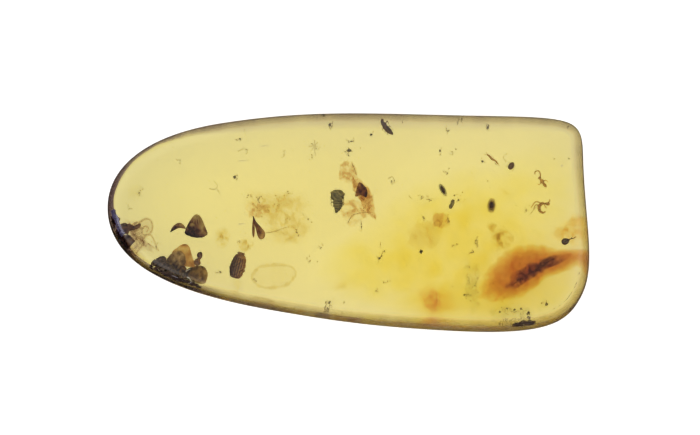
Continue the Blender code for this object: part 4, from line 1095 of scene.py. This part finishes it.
# Crumbs and dust: specks of bark, soil and insect parts strewn through the stone. Each is a small rough
# grain, set on a point that carries its size.
CRUMBS = [  # x, y, radius
    (0.06, 5.34, 0.17), (-0.26, 5.26, 0.06), (0.02, 4.94, 0.08), (0.25, 6.02, 0.07), (-1.92, 7.57, 0.11),
    (-1.45, 7.25, 0.09), (1.8, 6.57, 0.12), (0.93, 5.5, 0.06), (3.7, 7.89, 0.08), (4.17, 7.73, 0.06),
    (7.89, 6.93, 0.09), (8.92, 7.33, 0.08), (7.18, 5.3, 0.09), (7.73, 3.51, 0.07), (3.38, 2.95, 0.08),
    (5.6, 1.88, 0.06), (10.54, 4.47, 0.1), (10.98, 7.05, 0.1), (-8.49, 6.22, 0.09), (-8.89, 3.27, 0.11),
    (17.08, 6.85, 0.06), (17.23, 4.78, 0.09), (-2.4, -3.26, 0.07), (8.61, 1.52, 0.09), (8.29, 1.84, 0.06),
    (8.92, 2.08, 0.06), (5.68, -2.54, 0.14), (18.11, -1.03, 0.13), (18.45, -2.46, 0.11), (18.26, -1.74, 0.08),
    (18.4, 0.96, 0.14), (-8.42, -5.96, 0.1), (-3.03, -2.86, 0.06), (-0.34, -6.44, 0.08), (-1.45, -6.44, 0.1),
    (11.53, 4.39, 0.06), (14.07, -7.24, 0.14), (12.96, -7.08, 0.1), (12.41, -6.92, 0.08), (11.85, -7.16, 0.1),
    (13.51, -6.92, 0.08), (15.49, -6.6, 0.1), (9.08, -5.88, 0.09), (9.56, -6.28, 0.06), (8.45, 5.42, 0.08),
    (16.13, 4.78, 0.07), (16.44, 5.66, 0.05), (5.44, 1.84, 0.06), (-10.0, -4.13, 0.1), (-13.72, 5.5, 0.05),
    (-14.51, 1.12, 0.04), (2.43, -3.02, 0.08), (2.83, -2.46, 0.08), (11.06, 2.47, 0.05), (10.9, 3.03, 0.05),
    (7.89, 3.91, 0.06), (4.25, 7.33, 0.06),
]
crumb_dust = see_through("resin_soaked_crumbs", "#5c4a30", 9000.0)


def strewing():
    """The tree that sets one rough grain on each point, sized by the point's own size."""
    tree = bpy.data.node_groups.new("strewn grains", "GeometryNodeTree")
    face = tree.interface
    face.new_socket("Points", in_out="INPUT", socket_type="NodeSocketGeometry")
    for label, start in (("Grain stretch", 0.4), ("Roughness depth", 2.2), ("Roughness size", 0.12 * MM)):
        face.new_socket(label, in_out="INPUT", socket_type="NodeSocketFloat").default_value = start
    face.new_socket("Seed", in_out="INPUT", socket_type="NodeSocketInt").default_value = 7
    face.new_socket("Grain detail", in_out="INPUT", socket_type="NodeSocketInt").default_value = 3
    face.new_socket("Surface", in_out="INPUT", socket_type="NodeSocketMaterial")
    face.new_socket("Grains", in_out="OUTPUT", socket_type="NodeSocketGeometry")
    given = add_node(tree, "NodeGroupInput").outputs
    ball = add_node(tree, "GeometryNodeMeshIcoSphere", {"Radius": 1.0, "Subdivisions": given["Grain detail"]})
    turn = add_node(
        tree, "FunctionNodeRandomValue",
        {"Min": (0, 0, 0), "Max": (math.tau, math.tau, math.tau), "Seed": given["Seed"]},
        data_type="FLOAT_VECTOR",
    )
    size = add_node(tree, "GeometryNodeInputNamedAttribute", {"Name": "size"}, data_type="FLOAT")
    least = add_node(tree, "ShaderNodeMath", {0: 1.0, 1: given["Grain stretch"]}, operation="SUBTRACT")
    most = add_node(tree, "ShaderNodeMath", {0: 1.0, 1: given["Grain stretch"]}, operation="ADD")
    low = add_node(tree, "ShaderNodeCombineXYZ", {a: least.outputs[0] for a in "XYZ"})
    high = add_node(tree, "ShaderNodeCombineXYZ", {a: most.outputs[0] for a in "XYZ"})
    stretch = add_node(
        tree, "FunctionNodeRandomValue",
        {"Min": low.outputs[0], "Max": high.outputs[0], "Seed": given["Seed"]}, data_type="FLOAT_VECTOR",
    )
    scale = add_node(tree, "ShaderNodeVectorMath", {0: stretch.outputs["Value"]}, operation="SCALE")
    tree.links.new(size.outputs["Attribute"], scale.inputs["Scale"])
    grains = add_node(
        tree, "GeometryNodeInstanceOnPoints",
        {"Points": given["Points"], "Instance": ball.outputs["Mesh"], "Rotation": turn.outputs["Value"],
         "Scale": scale.outputs["Vector"]},
    )
    real = add_node(tree, "GeometryNodeRealizeInstances", {"Geometry": grains.outputs["Instances"]})
    fine = add_node(tree, "ShaderNodeMath", {0: 1.0, 1: given["Roughness size"]}, operation="DIVIDE")
    rough = add_node(tree, "ShaderNodeTexNoise", {"Scale": fine.outputs[0], "Detail": 1.0})
    place = add_node(tree, "GeometryNodeInputPosition")
    tree.links.new(place.outputs["Position"], rough.inputs["Vector"])
    centred = add_node(tree, "ShaderNodeMath", {0: rough.outputs["Fac"], 1: 0.5}, operation="SUBTRACT")
    deep = add_node(
        tree, "ShaderNodeMath", {0: centred.outputs[0], 1: given["Roughness depth"]}, operation="MULTIPLY"
    )
    far = add_node(
        tree, "ShaderNodeMath", {0: deep.outputs[0], 1: size.outputs["Attribute"]}, operation="MULTIPLY"
    )
    way = add_node(tree, "GeometryNodeInputNormal")
    push = add_node(tree, "ShaderNodeVectorMath", {0: way.outputs["Normal"]}, operation="SCALE")
    tree.links.new(far.outputs[0], push.inputs["Scale"])
    worn = add_node(
        tree, "GeometryNodeSetPosition",
        {"Geometry": real.outputs["Geometry"], "Offset": push.outputs["Vector"]},
    )
    dressed = add_node(
        tree, "GeometryNodeSetMaterial", {"Geometry": worn.outputs["Geometry"], "Material": given["Surface"]}
    )
    add_node(tree, "NodeGroupOutput", {"Grains": dressed.outputs["Geometry"]})
    return tree


def strewn(name, spots, surface, seed, detail):
    """Rough grains as one plain mesh, from rows of x, y, z and radius."""
    mesh = bpy.data.meshes.new(name + " points")
    mesh.from_pydata([[value * MM for value in spot[:3]] for spot in spots], [], [])
    mesh.attributes.new("size", "FLOAT", "POINT").data.foreach_set("value", [spot[3] * MM for spot in spots])
    holder = bpy.data.objects.new(name + " points", mesh)
    bpy.context.scene.collection.objects.link(holder)
    modifier = holder.modifiers.new("strewn grains", "NODES")
    modifier.node_group = grain_tree
    sockets = {
        item.name: item.identifier for item in grain_tree.interface.items_tree if item.in_out == "INPUT"
    }
    modifier[sockets["Seed"]] = seed
    modifier[sockets["Grain detail"]] = detail
    modifier[sockets["Surface"]] = surface
    seen = holder.evaluated_get(bpy.context.evaluated_depsgraph_get())
    made = bpy.data.objects.new(name, bpy.data.meshes.new_from_object(seen))
    bpy.data.objects.remove(holder)
    made.data.name = name
    ground_flush(made.data)
    made.data.shade_smooth()
    bpy.context.scene.collection.objects.link(made)
    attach(made, "root")
    return made


grain_tree = strewing()
girdle_points, girdle_out, girdle_radius = girdle()
girdle_lean = shoulder_lean(girdle_out, girdle_radius)
random = np.random.default_rng(5)


def under_shoulder(x, y, depth):
    """The height that far below the stone's upper surface, near its side."""
    away = np.linalg.norm(girdle_points - (x, y), axis=1)
    inset, height = np.array(flank(40)).T
    return np.interp(away.min() / girdle_lean[away.argmin()], inset, height) - depth


# Packed bark dust fills the heap from under the shoulder of the stone up to the flap.
PACKED_DUST = [
    (-15.5, -3.72), (-15.14, -3.36), (-14.51, -3.2), (-14.12, -3.6), (-13.48, -4.24), (-12.69, -4.64),
    (-11.74, -5.15), (-11.5, -5.4), (-12.37, -5.34), (-13.32, -4.9), (-14.27, -4.42), (-15.07, -4.02),
]
packed_dust = dry_surface(
    "packed_bark_dust", [(0.0, "#54402e"), (0.15, "#74583e"), (0.35, "#9c7e54")], 0.2, 0.6
)
dust_edge = eased(PACKED_DUST, 36, closed=True)
packed = []
for share in (0.25, 0.5, 0.72, 0.95):
    for x, y in dust_edge.mean(axis=0) + (dust_edge - dust_edge.mean(axis=0)) * share:
        away = np.linalg.norm(girdle_points - (x, y), axis=1).min()
        grain = min(random.uniform(0.12, 0.26), 0.6 * away)
        packed.append((x, y, under_shoulder(x, y, grain + random.uniform(0.15, 0.4)), grain))
strewn("packed_heap_dust", packed, packed_dust, 3, 2)

# At the tip, small pale lavender plates just under the shoulder are a painted reflection: they stand in for
# the silvery lavender glint that a bluish window makes on the plum husk.
REFLECTION_LINE = [
    (-18.36, 0.62), (-18.3, 0.3), (-18.12, -0.05), (-17.99, -0.5), (-17.84, -0.92), (-17.58, -1.32)
]
# Painted reflection: a plain lavender surface in the place of the window's glint.
painted_reflection_film = dry_surface(
    "lavender_painted_reflection", [(0.0, "#6c6484"), (0.3, "#aca4cc"), (1.0, "#e4e0fc")], 0.12, 0.3
)
reflection_plates = []
for number, (x, y) in enumerate(eased(REFLECTION_LINE, 56)):
    plate = 0.09 + 0.03 * math.sin(2.4 * number)
    across = 0.13 * math.sin(5.1 * number)
    x, y = x + across, y + 0.4 * across
    reflection_plates.append((x, y, under_shoulder(x, y, plate + 0.05), plate))
strewn("painted_reflection_plates", reflection_plates, painted_reflection_film, 7, 2)

# Splinters of the chip at the edge reach up under the shoulder.
splinters = []
for x in np.linspace(12.95, 14.45, 11):
    wall = girdle_points[np.abs(girdle_points[:, 0] - x) + 20 * (girdle_points[:, 1] > 0) < 0.2][:, 1].mean()
    for inset in (0.2, 0.32, 0.46 - abs(x - 13.7) * 0.2):
        splinters.append((x, wall + inset, under_shoulder(x, wall + inset, 0.26), random.uniform(0.13, 0.19)))
strewn("edge_chip_splinters", splinters, packed_dust, 4, 2)
strewn(
    "crumbs", [(x, y, DRIFT_HEIGHT + random.uniform(-0.5, 0.5), r) for x, y, r in CRUMBS], crumb_dust, 7, 3
)


def well_inside(x, y, margin):
    """Whether a place is further than the margin from the outline."""
    away = np.linalg.norm(girdle_points - (x, y), axis=1)
    turns = np.arctan2(girdle_points[:, 1] - y, girdle_points[:, 0] - x)
    return away.min() > margin and abs(np.unwrap(turns)[-1] - turns[0]) > math.pi


# Finer dust lies everywhere, and gathers in drifts round the plant scraps.
DUST_MARGIN = 1.3
DUST_DRIFTS = [  # x, y, spread, how many
    (12.6, -7.0, 1.0, 90), (9.7, -5.2, 0.9, 70), (0.1, 5.3, 0.4, 14), (8.6, 1.7, 0.5, 24),
    (14.2, 0.9, 0.6, 16), (2.6, -2.6, 0.4, 14), (-2.6, 5.6, 0.4, 24), (3.4, 3.0, 0.4, 12),
    (-13.4, -3.4, 0.9, 60), (-16.4, -1.2, 0.8, 50), (11.9, -1.3, 0.7, 36), (-6.0, 0.4, 1.6, 80),
    (0.8, 1.2, 1.1, 60), (15.0, -6.6, 0.6, 24), (-1.0, -6.4, 0.7, 16),
]
dust = [(random.uniform(-18, 18), random.uniform(-8, 8.4), random.uniform(0.014, 0.036)) for _ in range(1600)]
for x, y, spread, count in DUST_DRIFTS:
    dust += [
        (x + random.normal(0, spread), y + random.normal(0, spread * 0.6), random.uniform(0.015, 0.05))
        for _ in range(count)
    ]
dust = [(x, y, random.uniform(2.0, 5.2), r) for x, y, r in dust if well_inside(x, y, DUST_MARGIN)]
strewn("fine_dust", dust, crumb_dust, 11, 1)

# Wisps: short tufts of shredded leaf and spider silk that caught dust, each a curved row of small soft
# grains.
WISPS = [
    (0.0, 5.2), (-1.5, -6.5), (3.5, 2.9), (15.4, -6.5), (10.0, -1.9), (9.2, -5.9), (-16.3, 2.2), (7.8, 0.0),
    (18.0, 2.7), (-7.3, -4.7), (1.8, 6.6), (-8.0, 5.4), (-4.6, 2.0), (8.2, 5.1), (9.6, -2.6), (-8.8, 3.3),
    (1.0, -0.5), (-7.8, 1.9), (-4.0, -1.0), (-8.6, 6.2), (0.2, 6.0), (11.0, 7.1), (7.7, 3.6), (-10.1, -4.1),
    (-2.8, 4.8), (-3.0, -0.2), (7.2, 5.3), (10.5, 4.5), (-8.5, -1.7), (7.8, 6.9), (5.7, 1.7), (-7.0, 1.6),
    (-17.2, 0.9), (8.8, 7.3), (5.9, 0.1), (-5.0, 5.1), (6.3, 1.6), (-1.4, 7.2), (-2.1, -2.2), (12.2, 4.8),
    (-15.0, -2.0), (-3.1, -3.2), (2.2, -5.6), (3.0, -4.9), (8.3, -2.1), (2.5, -3.0), (-13.2, 4.6),
    (13.9, 0.7),
]
shredded_leaf = see_through("resin_soaked_shreds", "#806838", 6500.0)
tufts = []
for x, y in WISPS:
    turn, bend, half = random.uniform(0, math.tau), random.uniform(-2, 2), random.uniform(0.14, 0.36)
    for along in np.linspace(-1, 1, random.integers(10, 22)):
        heading = turn + bend * along / 2
        tufts.append(
            (x + along * half * math.cos(heading) + random.normal(0, 0.05),
             y + along * half * math.sin(heading) + random.normal(0, 0.05),
             DRIFT_HEIGHT + random.normal(0, 0.1), random.uniform(0.03, 0.075))
        )
strewn("shredded_wisps", tufts, shredded_leaf, 17, 1)


# The floor: a plain white table that glows a little, as the stone is lit from below as well as from above.
FLOOR_REACH = 5000.0
floor_mesh = bpy.data.meshes.new("floor")
floor_corners = [(-1, -1), (1, -1), (1, 1), (-1, 1)]
floor_mesh.from_pydata(
    [(x * FLOOR_REACH * MM, y * FLOOR_REACH * MM, 0) for x, y in floor_corners], [], [(0, 1, 2, 3)]
)
floor = bpy.data.objects.new("floor", floor_mesh)
floor.location.z = -0.02 * MM
floor.visible_glossy = False  # keeps the glare of the table out of the steep sides of the stone
bpy.context.scene.collection.objects.link(floor)
inputs = {
    "Base Color": linear("#f2f2f2"), "Roughness": 0.9, "Specular IOR Level": 0.1,
    "Emission Color": (1, 1, 1, 1), "Emission Strength": 0.58,
}
white_table = new_material("white_table", inputs)[0]
floor_mesh.materials.append(white_table)


# The light: a soft white room, darker towards its horizon, and one low bluish window off the rounded tip.
world = bpy.data.worlds.new("soft_room")
bpy.context.scene.world = world
world.use_nodes = True
tree = world.node_tree
place = add_node(tree, "ShaderNodeTexCoord")
height = add_node(tree, "ShaderNodeSeparateXYZ", {"Vector": place.outputs["Generated"]})
sky = add_node(
    tree, "ShaderNodeValToRGB", {"Fac": height.outputs["Z"]},
    [(0.0, "#1c1a18"), (0.02, "#808080"), (0.35, "#ffffff"), (0.8, "#ffffff"), (1.0, "#a4a4a4")],
)
tree.links.new(sky.outputs["Color"], tree.nodes["Background"].inputs["Color"])
tree.nodes["Background"].inputs["Strength"].default_value = 1.0
window = bpy.data.lights.new("window", "AREA")
window.shape = "RECTANGLE"
window.size, window.size_y = 0.12, 0.17
window.energy = 0.2
window.color = (0.76, 0.74, 1.0)
window_place = bpy.data.objects.new("window", window)
window_place.location = (-0.298, -0.058, 0.17)
window_place.rotation_euler = (-window_place.location).to_track_quat("-Z", "Y").to_euler()
bpy.context.scene.collection.objects.link(window_place)


# The camera looks down from nearly overhead, so that the long +X edge runs across the picture.
CAMERA_RISE = math.radians(84)
CAMERA_DISTANCE = 300.0
PICTURE_WIDTH = 700 * 38 / 480  # millimetres across the picture at the girdle
aim = Vector((0.135, 0.4535, 2.2))
camera = bpy.data.cameras.new("camera")
camera.sensor_width = 36
camera.lens = 36 * CAMERA_DISTANCE / PICTURE_WIDTH
camera.clip_start = 0.01
camera_place = bpy.data.objects.new("camera", camera)
camera_place.location = (
    aim + Vector((0, -math.cos(CAMERA_RISE), math.sin(CAMERA_RISE))) * CAMERA_DISTANCE
) * MM
camera_place.rotation_euler = (math.pi / 2 - CAMERA_RISE, 0, 0)
bpy.context.scene.collection.objects.link(camera_place)
bpy.context.scene.camera = camera_place
bpy.context.scene.view_settings.view_transform = "Standard"
bpy.context.scene.cycles.max_bounces = 32
bpy.context.scene.cycles.transmission_bounces = 32
bpy.context.scene.cycles.glossy_bounces = 8
bpy.context.scene.cycles.diffuse_bounces = 5
